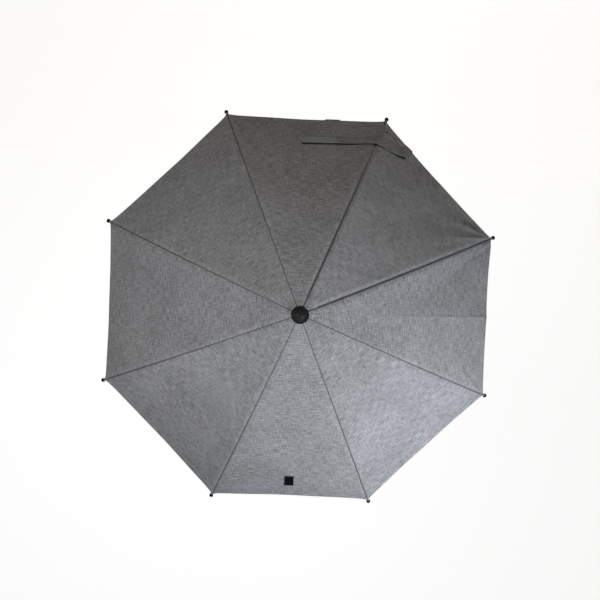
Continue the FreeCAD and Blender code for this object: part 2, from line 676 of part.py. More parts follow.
def make_tilt_tongue():
    """Lower half of the knuckle: one plate above a sleeve for the lower tube."""
    half = TONGUE_THICKNESS / 2
    body = knuckle_plate(-half, half, False).fuse(knuckle_sleeve(-1))
    reach = SLEEVE_GRIP
    bore = cylinder(STICK_RADIUS + PRESS_CLEARANCE, reach, FreeCAD.Vector(0, 0, LOWER_TUBE_TOP - reach))
    hole = cylinder(TILT_PIN_RADIUS + PIN_CLEARANCE, 2 * half, FreeCAD.Vector(0, -half, TILT_HEIGHT), Y_AXIS)
    return body.cut([bore, hole])


def make_tilt_fork():
    """Upper half of the knuckle: two ears below a sleeve, with the button's pocket in one ear."""
    body = knuckle_sleeve(1)
    for y_from in (-EAR_OUTER, EAR_INNER):
        body = body.fuse(knuckle_plate(y_from, y_from + EAR_THICKNESS, True))
    bore = cylinder(STICK_RADIUS + PRESS_CLEARANCE, SLEEVE_GRIP, FreeCAD.Vector(0, 0, UPPER_TUBE_FOOT))
    reach = EAR_OUTER + POCKET_FLOOR
    hole = cylinder(TILT_PIN_RADIUS + PRESS_CLEARANCE, reach,
                    FreeCAD.Vector(0, -EAR_OUTER, TILT_HEIGHT), Y_AXIS)
    pocket = cylinder(BUTTON_RADIUS + BUTTON_CLEARANCE, 2 * EAR_THICKNESS,
                      FreeCAD.Vector(0, POCKET_FLOOR, TILT_HEIGHT), Y_AXIS)
    return body.cut([bore, hole, pocket])


def make_tilt_pin():
    """Headed pin through both ears and the tongue."""
    start = -EAR_OUTER - PIN_HEAD_HEIGHT
    shank_from = FreeCAD.Vector(0, -EAR_OUTER, TILT_HEIGHT)
    shank = cylinder(TILT_PIN_RADIUS, POCKET_FLOOR + EAR_OUTER, shank_from, Y_AXIS)
    head = cylinder(PIN_HEAD_RADIUS, PIN_HEAD_HEIGHT, FreeCAD.Vector(0, start, TILT_HEIGHT), Y_AXIS)
    return shank.fuse(head)


def make_tilt_button():
    """Push button with a domed face and a recess for its spring."""
    edge = BUTTON_PROUD / 2
    recess = SPRING_RADIUS + BUTTON_CLEARANCE
    button = turned([
        (0, SPRING_THICKNESS),
        (recess, SPRING_THICKNESS),
        (recess, 0),
        (BUTTON_RADIUS, 0),
        (BUTTON_RADIUS, BUTTON_LENGTH - edge),
        dome(BUTTON_RADIUS, BUTTON_LENGTH - edge, BUTTON_LENGTH),
    ])
    return aim(button, FreeCAD.Vector(0, BUTTON_BACK, TILT_HEIGHT), Y_AXIS)


def make_button_spring():
    """Dished spring washer between the button and the floor of its pocket."""
    rise = BUTTON_BACK - POCKET_FLOOR
    hole = TILT_PIN_RADIUS / 2
    washer = turned([
        (hole, rise),
        (SPRING_RADIUS, 0),
        (SPRING_RADIUS, SPRING_THICKNESS),
        (hole, rise + SPRING_THICKNESS),
    ])
    return aim(washer, FreeCAD.Vector(0, POCKET_FLOOR, TILT_HEIGHT), Y_AXIS)


def make_socket():
    """Deep cup for the stick, with a swivel tongue below and a screw boss at its side."""
    half = SOCKET_TONGUE / 2
    pivot = FreeCAD.Vector(0, -half, SWIVEL_HEIGHT)
    tongue = cylinder(SWIVEL_RADIUS, SOCKET_TONGUE, pivot, Y_AXIS)
    neck = block(-SOCKET_RADIUS, SOCKET_RADIUS, -half, half, SWIVEL_HEIGHT, SOCKET_BASE + SOCKET_FLOOR / 2)
    collar = SOCKET_TOP - SOCKET_COLLAR_HEIGHT
    step = SOCKET_COLLAR_RADIUS - SOCKET_RADIUS
    cup = turned([
        (0, SOCKET_BASE),
        (SOCKET_RADIUS - BEVEL, SOCKET_BASE),
        (SOCKET_RADIUS, SOCKET_BASE + BEVEL),
        (SOCKET_RADIUS, collar - step),
        (SOCKET_COLLAR_RADIUS, collar),
        (SOCKET_COLLAR_RADIUS, SOCKET_TOP - BEVEL),
        (SOCKET_COLLAR_RADIUS - BEVEL, SOCKET_TOP),
        (0, SOCKET_TOP),
    ])
    boss = cylinder(BOSS_RADIUS, BOSS_REACH, FreeCAD.Vector(0, 0, BOSS_Z), -Y_AXIS)
    bore_from = FreeCAD.Vector(0, 0, SOCKET_BASE + SOCKET_FLOOR)
    bore = cylinder(STICK_RADIUS + SOCKET_CLEARANCE, SOCKET_LENGTH, bore_from)
    thread = cylinder(SCREW_RADIUS + SCREW_CLEARANCE, 2 * BOSS_REACH, FreeCAD.Vector(0, 0, BOSS_Z), -Y_AXIS)
    hole = cylinder(SWIVEL_BOLT_RADIUS + BOLT_CLEARANCE, SOCKET_TONGUE, pivot, Y_AXIS)
    return tongue.fuse([neck, cup, boss]).cut([bore, thread, hole])


def star_knob(radius, height):
    """Scalloped hand knob standing on Z with a round hub below its grip."""
    grip = turned([
        (0, 0),
        (KNOB_HUB_RADIUS, 0),
        (KNOB_HUB_RADIUS, KNOB_HUB_HEIGHT),
        (radius - BEVEL, KNOB_HUB_HEIGHT),
        (radius, KNOB_HUB_HEIGHT + BEVEL),
        (radius, height - KNOB_ROUND),
        ((radius - KNOB_ROUND * (1 - math.sqrt(0.5)), height - KNOB_ROUND * (1 - math.sqrt(0.5))),
         (radius - KNOB_ROUND, height)),
        (0, height),
    ])
    far = radius + KNOB_SCALLOP / 2
    cutters = []
    for number in range(KNOB_LOBES):
        angle = 2 * math.pi * number / KNOB_LOBES
        centre = FreeCAD.Vector(far * math.cos(angle), far * math.sin(angle), 0)
        cutters.append(cylinder(KNOB_SCALLOP, height, centre))
    return grip.cut(cutters)


def make_socket_screw():
    """Thumb screw in the socket's boss that bears on the stick."""
    tip = STICK_RADIUS + SCREW_TIP_GAP
    knob_at = BOSS_REACH + KNOB_GAP
    shank = cylinder(SCREW_RADIUS, knob_at - tip, FreeCAD.Vector(0, -tip, BOSS_Z), -Y_AXIS)
    knob = aim(star_knob(SOCKET_KNOB_RADIUS, KNOB_HEIGHT), FreeCAD.Vector(0, -knob_at, BOSS_Z), -Y_AXIS)
    return knob.fuse(shank)


def make_swivel_bolt():
    """Round-headed bolt through the clamp's ears and the socket's tongue."""
    length = 2 * SWIVEL_EAR_OUTER + BOLT_THREAD
    base = FreeCAD.Vector(0, -SWIVEL_EAR_OUTER, SWIVEL_HEIGHT)
    shank = cylinder(SWIVEL_BOLT_RADIUS, length, base, Y_AXIS)
    head = turned([
        (0, 0),
        (BOLT_HEAD_RADIUS, 0),
        (BOLT_HEAD_RADIUS, BEVEL),
        dome(BOLT_HEAD_RADIUS, BEVEL, BOLT_HEAD_HEIGHT),
    ])
    return shank.fuse(aim(head, base, -Y_AXIS))


def make_swivel_knob():
    """Hand knob on the end of the swivel bolt."""
    base = FreeCAD.Vector(0, SWIVEL_EAR_OUTER + KNOB_GAP, SWIVEL_HEIGHT)
    knob = aim(star_knob(KNOB_RADIUS, KNOB_HEIGHT), base, Y_AXIS)
    depth = BOLT_THREAD
    return knob.cut(cylinder(SWIVEL_BOLT_RADIUS + SCREW_CLEARANCE, depth, base, Y_AXIS))


def ring_sector(inner, outer, from_deg, to_deg, half_width):
    """Part of a ring about the Y axis; angles turn from +X towards +Z."""
    def at(radius, angle):
        turn = math.radians(angle)
        return FreeCAD.Vector(radius * math.cos(turn), -half_width, radius * math.sin(turn))

    middle = (from_deg + to_deg) / 2
    face = face_from([
        at(inner, from_deg),
        at(outer, from_deg),
        (at(outer, middle), at(outer, to_deg)),
        at(inner, to_deg),
        (at(inner, middle), at(inner, from_deg)),
    ])
    return face.extrude(Y_AXIS * (2 * half_width))


def clamp_arch(half):
    """Bridge over the tube and the leg for the screw, with rounded corners."""
    def at(x, z):
        return FreeCAD.Vector(x, -half, z)

    off = 1 - math.sqrt(0.5)
    outline = [
        at(-CLAMP_WALL, PAD_SEAT),
        at(-CLAMP_WALL, BRIDGE_TOP),
        at(LEG_END - CLAMP_CORNER, BRIDGE_TOP),
        (at(LEG_END - CLAMP_CORNER * off, BRIDGE_TOP - CLAMP_CORNER * off),
         at(LEG_END, BRIDGE_TOP - CLAMP_CORNER)),
        at(LEG_END, 0),
        at(LEG_X, 0),
        at(LEG_X, BRIDGE_BOTTOM - CLAMP_INNER_CORNER),
        (at(LEG_X - CLAMP_INNER_CORNER * off, BRIDGE_BOTTOM - CLAMP_INNER_CORNER * off),
         at(LEG_X - CLAMP_INNER_CORNER, BRIDGE_BOTTOM)),
        at(0, BRIDGE_BOTTOM),
        at(0, PAD_SEAT),
    ]
    return face_from(outline).extrude(Y_AXIS * (2 * half))


def make_clamp_body():
    """Hook over the pram tube with a seat for the fixed pad, a screw leg and two swivel ears."""
    half = CLAMP_WIDTH / 2
    hook = ring_sector(PAD_SEAT, CLAMP_OUTER, 90, FIXED_PAD_TO, half)
    end_turn = math.radians(FIXED_PAD_TO)
    end_radius = PAD_SEAT + CLAMP_WALL / 2
    end_at = FreeCAD.Vector(end_radius * math.cos(end_turn), -half, end_radius * math.sin(end_turn))
    hook_end = cylinder(CLAMP_WALL / 2, CLAMP_WIDTH, end_at, Y_AXIS)
    boss = cylinder(half, SCREW_LEG, FreeCAD.Vector(LEG_X, 0, 0), X_AXIS)
    body = clamp_arch(half).fuse([hook, hook_end, boss])
    for y_from in (-SWIVEL_EAR_OUTER, SWIVEL_EAR_INNER):
        disc = cylinder(SWIVEL_RADIUS, EAR_WIDTH, FreeCAD.Vector(0, y_from, SWIVEL_HEIGHT), Y_AXIS)
        foot = block(-SWIVEL_RADIUS, SWIVEL_RADIUS, y_from, y_from + EAR_WIDTH, BRIDGE_BOTTOM, SWIVEL_HEIGHT)
        body = body.fuse([disc, foot])
    body = body.cut(cylinder(PAD_SEAT, CLAMP_WIDTH, FreeCAD.Vector(0, -half, 0), Y_AXIS))
    bolt_hole = cylinder(SWIVEL_BOLT_RADIUS + PRESS_CLEARANCE, CLAMP_WIDTH,
                         FreeCAD.Vector(0, -half, SWIVEL_HEIGHT), Y_AXIS)
    screw_hole = cylinder(CLAMP_SCREW_RADIUS + SCREW_CLEARANCE, SCREW_LEG,
                          FreeCAD.Vector(LEG_X, 0, 0), X_AXIS)
    return body.cut([bolt_hole, screw_hole]).removeSplitter()


def make_fixed_pad():
    return ring_sector(PRAM_TUBE_RADIUS, PAD_SEAT, FIXED_PAD_FROM, FIXED_PAD_TO, CLAMP_WIDTH / 2)


def make_jaw_pad():
    return ring_sector(PRAM_TUBE_RADIUS, PAD_SEAT, -JAW_PAD_HALF, JAW_PAD_HALF, CLAMP_WIDTH / 2)


def make_jaw():
    """Sliding jaw, hollowed for the tube, guided under the bridge and pushed by the screw."""
    half = CLAMP_WIDTH / 2
    nose = PAD_SEAT * math.cos(math.radians(JAW_PAD_HALF))
    body = block(nose, JAW_BACK, -half, half, -JAW_HALF_HEIGHT, JAW_HALF_HEIGHT)
    guide = block(PAD_SEAT - JAW_GUIDE_LAP, JAW_BACK, -half, half, 0, BRIDGE_BOTTOM - JAW_GUIDE_GAP)
    body = body.fuse(guide).cut(cylinder(PAD_SEAT, CLAMP_WIDTH, FreeCAD.Vector(0, -half, 0), Y_AXIS))
    seat_from = FreeCAD.Vector(JAW_BACK - SCREW_SOCKET_DEPTH, 0, 0)
    seat_radius = CLAMP_SCREW_RADIUS + SCREW_SOCKET_CLEARANCE
    return body.cut(cylinder(seat_radius, SCREW_SOCKET_DEPTH, seat_from, X_AXIS)).removeSplitter()


def make_clamp_screw():
    """Screw with a hand knob, whose end turns in the back of the jaw."""
    shank_from = FreeCAD.Vector(SCREW_INNER_END, 0, 0)
    shank = cylinder(CLAMP_SCREW_RADIUS, CLAMP_KNOB_X - SCREW_INNER_END, shank_from, X_AXIS)
    collar_from = FreeCAD.Vector(JAW_BACK + SCREW_TIP_GAP, 0, 0)
    collar = cylinder(CLAMP_SCREW_RADIUS + SCREW_COLLAR, SCREW_COLLAR - SCREW_TIP_GAP, collar_from, X_AXIS)
    knob = aim(star_knob(CLAMP_KNOB_RADIUS, CLAMP_KNOB_HEIGHT), FreeCAD.Vector(CLAMP_KNOB_X, 0, 0), X_AXIS)
    return knob.fuse([shank, collar])


def make_all():
    """Every node's solid by its name."""
    nodes = {
        "top_cap": make_top_cap(),
        "crown": make_crown(),
        "crown_wire": wire_ring(CROWN_Z, WIRE_RADIUS),
        "runner": make_runner(),
        "runner_wire": wire_ring(RUNNER_Z, WIRE_RADIUS),
        "top_spring": make_top_spring(),
        "upper_tube": make_upper_tube(),
        "lower_tube": make_lower_tube(),
        "end_plug": make_end_plug(),
        "tilt_fork": make_tilt_fork(),
        "tilt_tongue": make_tilt_tongue(),
        "tilt_pin": make_tilt_pin(),
        "tilt_button": make_tilt_button(),
        "button_spring": make_button_spring(),
        "socket": make_socket(),
        "socket_screw": make_socket_screw(),
        "swivel_bolt": make_swivel_bolt(),
        "swivel_knob": make_swivel_knob(),
        "clamp_body": make_clamp_body(),
        "fixed_pad": make_fixed_pad(),
        "jaw": make_jaw(),
        "jaw_pad": make_jaw_pad(),
        "clamp_screw": make_clamp_screw(),
        "strap": spin(make_strap(), azimuth_of(STRAP_RIB)),
        "hem_label": spin(make_hem_label(), azimuth_of(LABEL_RIB)),
    }
    repeated = {
        "rib": make_rib(),
        "rib_tip": make_rib_tip(),
        "stretcher": make_stretcher(),
        "canopy_panel": make_canopy_panel(),
    }
    for name, shape in repeated.items():
        for index in range(1, RIB_COUNT + 1):
            nodes[f"{name}_{index}"] = spin(shape, azimuth_of(index))
    return nodes


def main():
    os.makedirs("parts", exist_ok=True)
    for name, shape in make_all().items():
        shape.exportStep(f"parts/{name}.step")


if __name__ == "__main__":
    main()
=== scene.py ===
"""Pram parasol: sewn canopy, strap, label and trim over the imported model. Lengths are in metres."""
import math

import bpy
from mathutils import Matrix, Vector


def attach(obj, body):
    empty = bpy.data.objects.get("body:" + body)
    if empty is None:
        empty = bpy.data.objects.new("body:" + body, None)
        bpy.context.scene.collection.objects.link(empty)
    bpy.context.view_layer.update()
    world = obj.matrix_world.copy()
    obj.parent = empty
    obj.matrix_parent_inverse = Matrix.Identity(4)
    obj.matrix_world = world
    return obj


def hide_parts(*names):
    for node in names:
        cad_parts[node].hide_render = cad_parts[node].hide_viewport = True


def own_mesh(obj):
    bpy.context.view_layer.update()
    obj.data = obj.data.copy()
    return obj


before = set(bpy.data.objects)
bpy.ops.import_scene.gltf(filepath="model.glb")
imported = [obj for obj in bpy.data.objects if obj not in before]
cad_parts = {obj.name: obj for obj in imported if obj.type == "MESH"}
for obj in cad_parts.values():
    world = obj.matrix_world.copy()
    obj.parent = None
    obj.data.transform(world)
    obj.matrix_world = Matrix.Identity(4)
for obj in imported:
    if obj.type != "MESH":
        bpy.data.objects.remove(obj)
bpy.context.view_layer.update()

RIB_COUNT = 8
GORE = 2 * math.pi / RIB_COUNT
FIRST_RIB = GORE / 2

# The ribs are equal arcs in upright planes. Along is measured on the arc from a rib's pivot.
PIVOT_RADIUS = 0.012
CROWN_Z = 0.65699
RIB_LENGTH = 0.368
CROWN_SLOPE = math.radians(12)
TIP_SLOPE = math.radians(33)
ARC_RADIUS = RIB_LENGTH / (TIP_SLOPE - CROWN_SLOPE)
ARC_CENTRE_R = PIVOT_RADIUS - ARC_RADIUS * math.sin(CROWN_SLOPE)
ARC_CENTRE_Z = CROWN_Z - ARC_RADIUS * math.cos(CROWN_SLOPE)

# The canopy's cloth. Lift is measured from the rib's arc, outwards.
FABRIC_START = -0.0030
FABRIC_LENGTH = 0.3590
HEM_HOLLOW = 0.001
CORNER_PULL = 0.0026
CORNER_WIDTH = 0.007
CLOTH_THICKNESS = 0.0006
CROWN_LIFT = 0.0026
CLOTH_LIFT = 0.0034
LIFT_GROWS_BY = 0.030
SAG = 0.0036
SAG_REACH = 0.86
GROOVE_DEPTH = 0.0014
GROOVE_STRONG = 0.0022
GROOVE_WIDTH = 0.0046
GROOVE_ENDS = 0.012
# The slit where two gores meet: its dip, and the half width of the dark line painted there as its shade.
SLIT_DEPTH = 0.0005
SLIT_WIDTH = 0.0006
SLIT_WIDENS = 0.0004
SLIT_TIGHT = 0.0006
SEAM_PUCKER = 0.00018
SEAM_PUCKER_PITCH = 0.0135
SEAM_PUCKER_REACH = 0.011
SEAM_PUCKER_SHIFT = 2.1
SEAM_PUCKER_SIDE_SHIFT = 1.3
CROWN_PUCKER = 0.0008
CROWN_PUCKER_REACH = 0.018
CROWN_PUCKERS = 4
CROWN_PUCKER_SHIFT = 1.7
TIP_FOLD = 0.0008
TIP_FOLD_STRONG = 0.0019
TIP_FOLD_REACH = 0.090
TIP_FOLD_START = 0.040
TIP_FOLD_COUNT = 5.1
TIP_FOLD_TURN = math.radians(7)
CREASE = 0.00012
CREASE_STRONG = 0.0009
CREASE_REACH = 0.0035
CREASE_FROM = 0.16
SLACK = 0.00035
SLACK_ACROSS = 0.115
SLACK_ALONG = 0.17
SLACK_SHIFT = 1.9
CREASED_GORE = 8
TIGHT_RIBS = (1, 2)
# The creased gore hangs loose on one side: it falls from the rib to a tension line that starts at the tip,
# and rises from there to the crease.
FLAP_DEPTH = 0.0066
FLAP_HEM_SHARE = 0.45
FLAP_GROWS_BY = 0.05
FLAP_FADES_BY = 0.27
FLAP_START = 0.004
FLAP_WIDEST = 0.27
FLAP_SLANT = math.tan(math.radians(20))
FLAP_RISE = 0.0022
FLAP_RISE_REACH = 0.05
# The tension line is a narrow ridge, and the loose hem bulges out beside the tip.
RIDGE_HEIGHT = 0.0032
RIDGE_WIDTH = 0.0027
RIDGE_START = 0.0045
RIDGE_SLANT = math.tan(math.radians(15))
RIDGE_GROWS_BY = 0.007
RIDGE_FADES_BY = 0.070
LOOSE_HEM = 0.0040
LOOSE_HEM_AT = 0.014
FANNED_GORES = (1, 8)
# Each gore is cut from another part of the cloth: shift across and along for each gore.
WEAVE_SHIFT = (0.61, 0.37)

# Rows and columns of a canopy piece, which runs from mid-gore to mid-gore over one rib.
NEAR_COLUMNS = (0.0005, 0.0010, 0.0018, 0.0030, 0.0046, 0.0066)
# They take up at most this share of the gore's width.
NEAR_COLUMNS_MOST = 0.25
# Beyond those: share of the rest of the way to mid-gore, and columns up to there.
COLUMN_ZONES = ((0.34, 22), (0.92, 8), (1.0, 5))
CLOTH_ROWS = 110
HEM_BAND = 0.012
HEM_PROFILE = (
    (0.0104, 0.0000), (0.0098, -0.0001), (0.0092, -0.0002), (0.0086, 0.0000), (0.0078, 0.0002),
    (0.0050, 0.0002), (0.0020, 0.0002), (0.0004, 0.0001), (0.0, -0.0003), (0.0004, -0.0008),
    (0.0020, -0.0010), (0.0085, -0.0010), (0.0090, -0.0008), (0.0098, -0.0006),
)
HEM_STITCH_AT = 0.0092
# Painted shade on the rolled edge of the hem, and its width.
EDGE_SHADE = 0.45
EDGE_WIDTH = 0.0005
STITCH_PITCH = 0.0034
STITCH_LENGTH = 0.0024
STITCH_RADIUS = 0.00022
STITCH_LIFT = 0.0001
STITCH_SIDES = 5
# Shares of a stitch's length and of its radius there.
STITCH_PROFILE = ((0.0, 0.3), (0.2, 0.9), (0.5, 1.1), (0.8, 0.9), (1.0, 0.3))

# Trim on the canopy.
TRIM_GAP = 0.0003
STRAP_RIB = 2
STRAP_WIDTH = 0.016
STRAP_THICKNESS = 0.0008
STRAP_STEPS = 16
STRAP_BRIDGE = 0.010
STRAP_WAVE = 0.0002
STRAP_WAVE_PITCH = 0.047
STRAP_HUMP = 0.0014
STRAP_HUMP_AT = -0.052
STRAP_HUMP_WIDTH = 0.012
STRAP_LENGTH = 0.205
# Places on the strap's path, free end first: the inner edge's distance past the rib and depth from the hem,
# the outer edge's distance and depth, and how far the dark sheet painted as the strap's shadow shows at the
# inner edge.
STRAP_PATH = (
    (0.120, 0.0545, 0.120, 0.0390, 0.0020),
    (0.080, 0.0535, 0.080, 0.0377, 0.0020),
    (0.040, 0.0522, 0.040, 0.0363, 0.0019),
    (0.000, 0.0510, 0.000, 0.0350, 0.0008),
    (-0.012, 0.0455, -0.008, 0.0305, 0.0004),
    (-0.030, 0.0385, -0.024, 0.0240, 0.0006),
    (-0.047, 0.0310, -0.040, 0.0170, 0.0016),
    (-0.058, 0.0225, -0.0465, 0.0100, 0.0024),
    (-0.0635, 0.0100, -0.0490, 0.0030, 0.0006),
    (-0.0670, 0.0000, -0.0505, -0.0020, 0.0),
    (-0.0690, -0.0080, -0.0515, -0.0085, 0.0),
)
STRAP_LEAST_GAP = 0.00005
STRAP_THINS = 0.75
# Share of the strap's width along its inner edge that is painted dark as shade, and how dark.
STRAP_EDGE = 0.03
STRAP_EDGE_SHADE = 0.85
# Painted shadow: a dark sheet under the strap's inner edge. Its first and last steps along the path, its
# share of the strap's width, and its thickness.
SHADOW_SHEET_FIRST = 0.01
SHADOW_SHEET_LAST = 7
SHADOW_SHEET_SHARE = 0.5
SHADOW_SHEET_THICKNESS = 0.0004
HEM_WRAP = 0.0011
TAPE_START = 0.02
TAPE_END = 1.33
TAPE_THICKNESS = 0.0003
TAPE_MARGIN = 0.0006
LABEL_RIB = 6
LABEL_OFF_MIDDLE = 0.0034
LABEL_WIDTH = 0.0155
LABEL_HEIGHT = 0.023
LABEL_FROM_HEM = 0.025
LABEL_THICKNESS = 0.0008
LABEL_STATIONS = 16
LABEL_STITCH_ROWS = (0.1, 0.9)
KEEPER_SHARE = 0.335
KEEPER_WIDTH = 0.029
KEEPER_PROUD = 0.0032
KEEPER_DEPTH = 0.009
KEEPER_LIFT = -0.0018
KEEPER_THICKNESS = 0.0010
KEEPER_STATIONS = 24
SLEEVE_START = -0.0024
SLEEVE_SIDES = 20
SLEEVE_GATHERS = 5
SLEEVE_GATHER = 0.04
# Shares of the sleeve's length and its radius there: gathered cloth, then turns of thread.
SLEEVE_PROFILE = (
    (0.0, 0.0029), (0.18, 0.0028), (0.36, 0.0025), (0.48, 0.00235), (0.53, 0.0025), (0.58, 0.0023),
    (0.63, 0.0025), (0.68, 0.0023), (0.73, 0.0025), (0.78, 0.0023), (0.90, 0.00225), (1.0, 0.00205),
)
TIP_BALL_RADIUS = 0.0034
SLEEVE_INTO_BALL = 0.8
ROSETTE_RADIUS = 0.0137
ROSETTE_HOLE = 0.0085
ROSETTE_OFF = (0.0005, -0.0008)
ROSETTE_LOBES = 13
ROSETTE_RUFFLE = 0.0006
ROSETTE_SCALLOP = 0.035
ROSETTE_UNEVEN = 0.8
ROSETTE_UNEVEN_COUNT = 3
ROSETTE_THICKNESS = 0.0007
ROSETTE_SIDES = 104
ROSETTE_RINGS = 8

# Cross-section of a sewn band: share of its width, share of its thickness.
BAND_PROFILE = (
    (0.0, 0.5), (0.015, 0.86), (0.05, 1.0), (0.085, 0.97), (0.1, 0.84), (0.115, 0.97), (0.16, 1.03),
    (0.35, 1.06), (0.5, 1.08), (0.65, 1.06), (0.84, 1.03), (0.885, 0.97), (0.9, 0.84), (0.915, 0.97),
    (0.95, 1.0), (0.985, 0.86), (1.0, 0.5), (0.985, 0.14), (0.95, 0.0), (0.65, 0.0), (0.35, 0.0),
    (0.05, 0.0), (0.015, 0.14),
)

# The photograph's camera, for a square picture.
CAMERA_PLACE = (-0.02964, 0.09077, 2.05)
CAMERA_TURN = (-2.87246, -1.07354, 2.50649)
SENSOR = 36.0
LENS = 54.593

# Light: soft lamps over the photograph's lower right and left, a weak warm one low at the back, two
# below for the underside and the holder, and a faint surround.
# Each lamp is an azimuth, an elevation, a distance from the canopy, a size, a power and a colour.
LAMPS = {
    "key": (-43, 30, 0.62, 0.4, 4.65, (0.889, 0.927, 1.0)),
    "side": (193, 53, 0.70, 0.5, 3.3, (0.978, 0.987, 1.0)),
    "back": (80, 12, 2.0, 0.8, 5.3, (1.0, 0.769, 0.528)),
    "under_right": (-20, -42, 1.5, 0.6, 3.2, (1.0, 1.0, 1.0)),
    "under_left": (160, -42, 1.5, 0.6, 3.2, (1.0, 1.0, 1.0)),
}
LAMP_CENTRE_Z = 0.6
# The lower lamps' beams are kept narrow, off the floor.
LOWER_BEAM = math.radians(96)
FILL_STRENGTH = 0.02
FILL_COLOUR = (1.0, 0.9, 0.8)
# The floor is where a pram stands whose tube is in the clamp, so no pose of the parasol reaches it.
FLOOR_Z = -0.75
FLOOR_HALF = 30.0
FLOOR_COLOUR = (0.72, 0.72, 0.715, 1)
FLOOR_GLOW = 0.875
FLOOR_ROUGHNESS = 0.9
WHITE = (1, 1, 1, 1)

# Materials. Noise scales are in repeats to a metre. Noise mostly lies between low and high.
NOISE_LOW = 0.3
NOISE_HIGH = 0.7
WEFT_SCALE = (75, 700, 1)
WARP_SCALE = (640, 90, 1)
YARN_SCALE = (240, 1900, 1)
CLOUD_SCALE = (16, 16, 1)
THREAD_PITCH = 0.0011
RUBBED_PALER = 3.2
EDGE_SAMPLES = 4
# Cosine of the turn at an edge that counts as fully sharp.
SHARP_EDGE = 0.8
# Blender's wave texture repeats at this distance when its scale is 1.
WAVE_REPEAT = math.pi / 10


class Graph:
    """One material's node tree, with short calls for the nodes used here."""

    def __init__(self, name):
        self.material = bpy.data.materials.new(name)
        self.material.use_nodes = True
        self.tree = self.material.node_tree
        self.shader = self.tree.nodes["Principled BSDF"]

    def node(self, kind, **settings):
        made = self.tree.nodes.new(kind)
        for key, value in settings.items():
            setattr(made, key, value)
        return made

    def link(self, source, target):
        self.tree.links.new(source, target)

    def place(self):
        """Where a point is on the piece at rest, in metres."""
        return self.node("ShaderNodeTexCoord").outputs["Object"]

    def woven(self):
        """Where a point is on the flat cloth, in metres: across and along the threads."""
        return self.node("ShaderNodeUVMap", uv_map="weave").outputs["UV"]

    def attribute(self, name):
        return self.node("ShaderNodeAttribute", attribute_name=name).outputs["Fac"]

    def scaled(self, coords, scale):
        mapping = self.node("ShaderNodeMapping")
        mapping.inputs["Scale"].default_value = scale
        self.link(coords, mapping.inputs["Vector"])
        return mapping.outputs["Vector"]

    def noise(self, coords, scale, detail=2.0, roughness=0.55):
        made = self.node("ShaderNodeTexNoise")
        made.inputs["Scale"].default_value = 1.0
        made.inputs["Detail"].default_value = detail
        made.inputs["Roughness"].default_value = roughness
        self.link(self.scaled(coords, scale), made.inputs["Vector"])
        return made.outputs["Fac"]

    def bands(self, coords, period, direction="X"):
        """Even waves across one direction, period metres apart."""
        made = self.node("ShaderNodeTexWave", wave_type="BANDS", bands_direction=direction)
        made.inputs["Scale"].default_value = WAVE_REPEAT / period
        self.link(coords, made.inputs["Vector"])
        return made.outputs["Fac"]

    def math(self, operation, one, other):
        made = self.node("ShaderNodeMath", operation=operation)
        for socket, value in zip(made.inputs, (one, other)):
            if hasattr(value, "is_linked"):
                self.link(value, socket)
            else:
                socket.default_value = value
        return made.outputs[0]

    def weighed(self, *terms):
        """Sum of values, each times its weight."""
        total = None
        for value, weight in terms:
            part = self.math("MULTIPLY", value, weight)
            total = part if total is None else self.math("ADD", total, part)
        return total

    def spread(self, value, low, high, to_low, to_high):
        made = self.node("ShaderNodeMapRange")
        self.link(value, made.inputs["Value"])
        ends = {"From Min": low, "From Max": high, "To Min": to_low, "To Max": to_high}
        for name, number in ends.items():
            made.inputs[name].default_value = number
        return made.outputs["Result"]

    def ramp(self, value, *stops):
        made = self.node("ShaderNodeValToRGB")
        elements = made.color_ramp.elements
        while len(elements) < len(stops):
            elements.new(1.0)
        for element, (position, colour) in zip(elements, stops):
            element.position = position
            element.color = (*colour, 1)
        self.link(value, made.inputs["Fac"])
        return made.outputs["Color"]

    def mixed(self, share, one, other):
        """From one colour to the other by share. Each may be a socket or a plain colour."""
        made = self.node("ShaderNodeMix", data_type="RGBA")
        self.link(share, made.inputs[0])
        for socket, value in ((made.inputs[6], one), (made.inputs[7], other)):
            if hasattr(value, "is_linked"):
                self.link(value, socket)
            else:
                socket.default_value = (*value, 1)
        return made.outputs[2]

    def edge_wear(self, radius):
        """0 on flat ground, towards 1 along a sharp edge."""
        bevel = self.node("ShaderNodeBevel", samples=EDGE_SAMPLES)
        bevel.inputs["Radius"].default_value = radius
        surface = self.node("ShaderNodeNewGeometry").outputs["Normal"]
        angle = self.node("ShaderNodeVectorMath", operation="DOT_PRODUCT")
        self.link(bevel.outputs["Normal"], angle.inputs[0])
        self.link(surface, angle.inputs[1])
        return self.spread(angle.outputs["Value"], 1.0, SHARP_EDGE, 0.0, 1.0)

    def bump(self, height, strength, distance):
        made = self.node("ShaderNodeBump")
        made.inputs["Strength"].default_value = strength
        made.inputs["Distance"].default_value = distance
        self.link(height, made.inputs["Height"])
        self.link(made.outputs["Normal"], self.shader.inputs["Normal"])

    def set(self, **sockets):
        """Constant values, or sockets, on the shader. Underscores stand for spaces."""
        for name, value in sockets.items():
            socket = self.shader.inputs[name.replace("_", " ")]
            if hasattr(value, "is_linked"):
                self.link(value, socket)
            else:
                socket.default_value = value


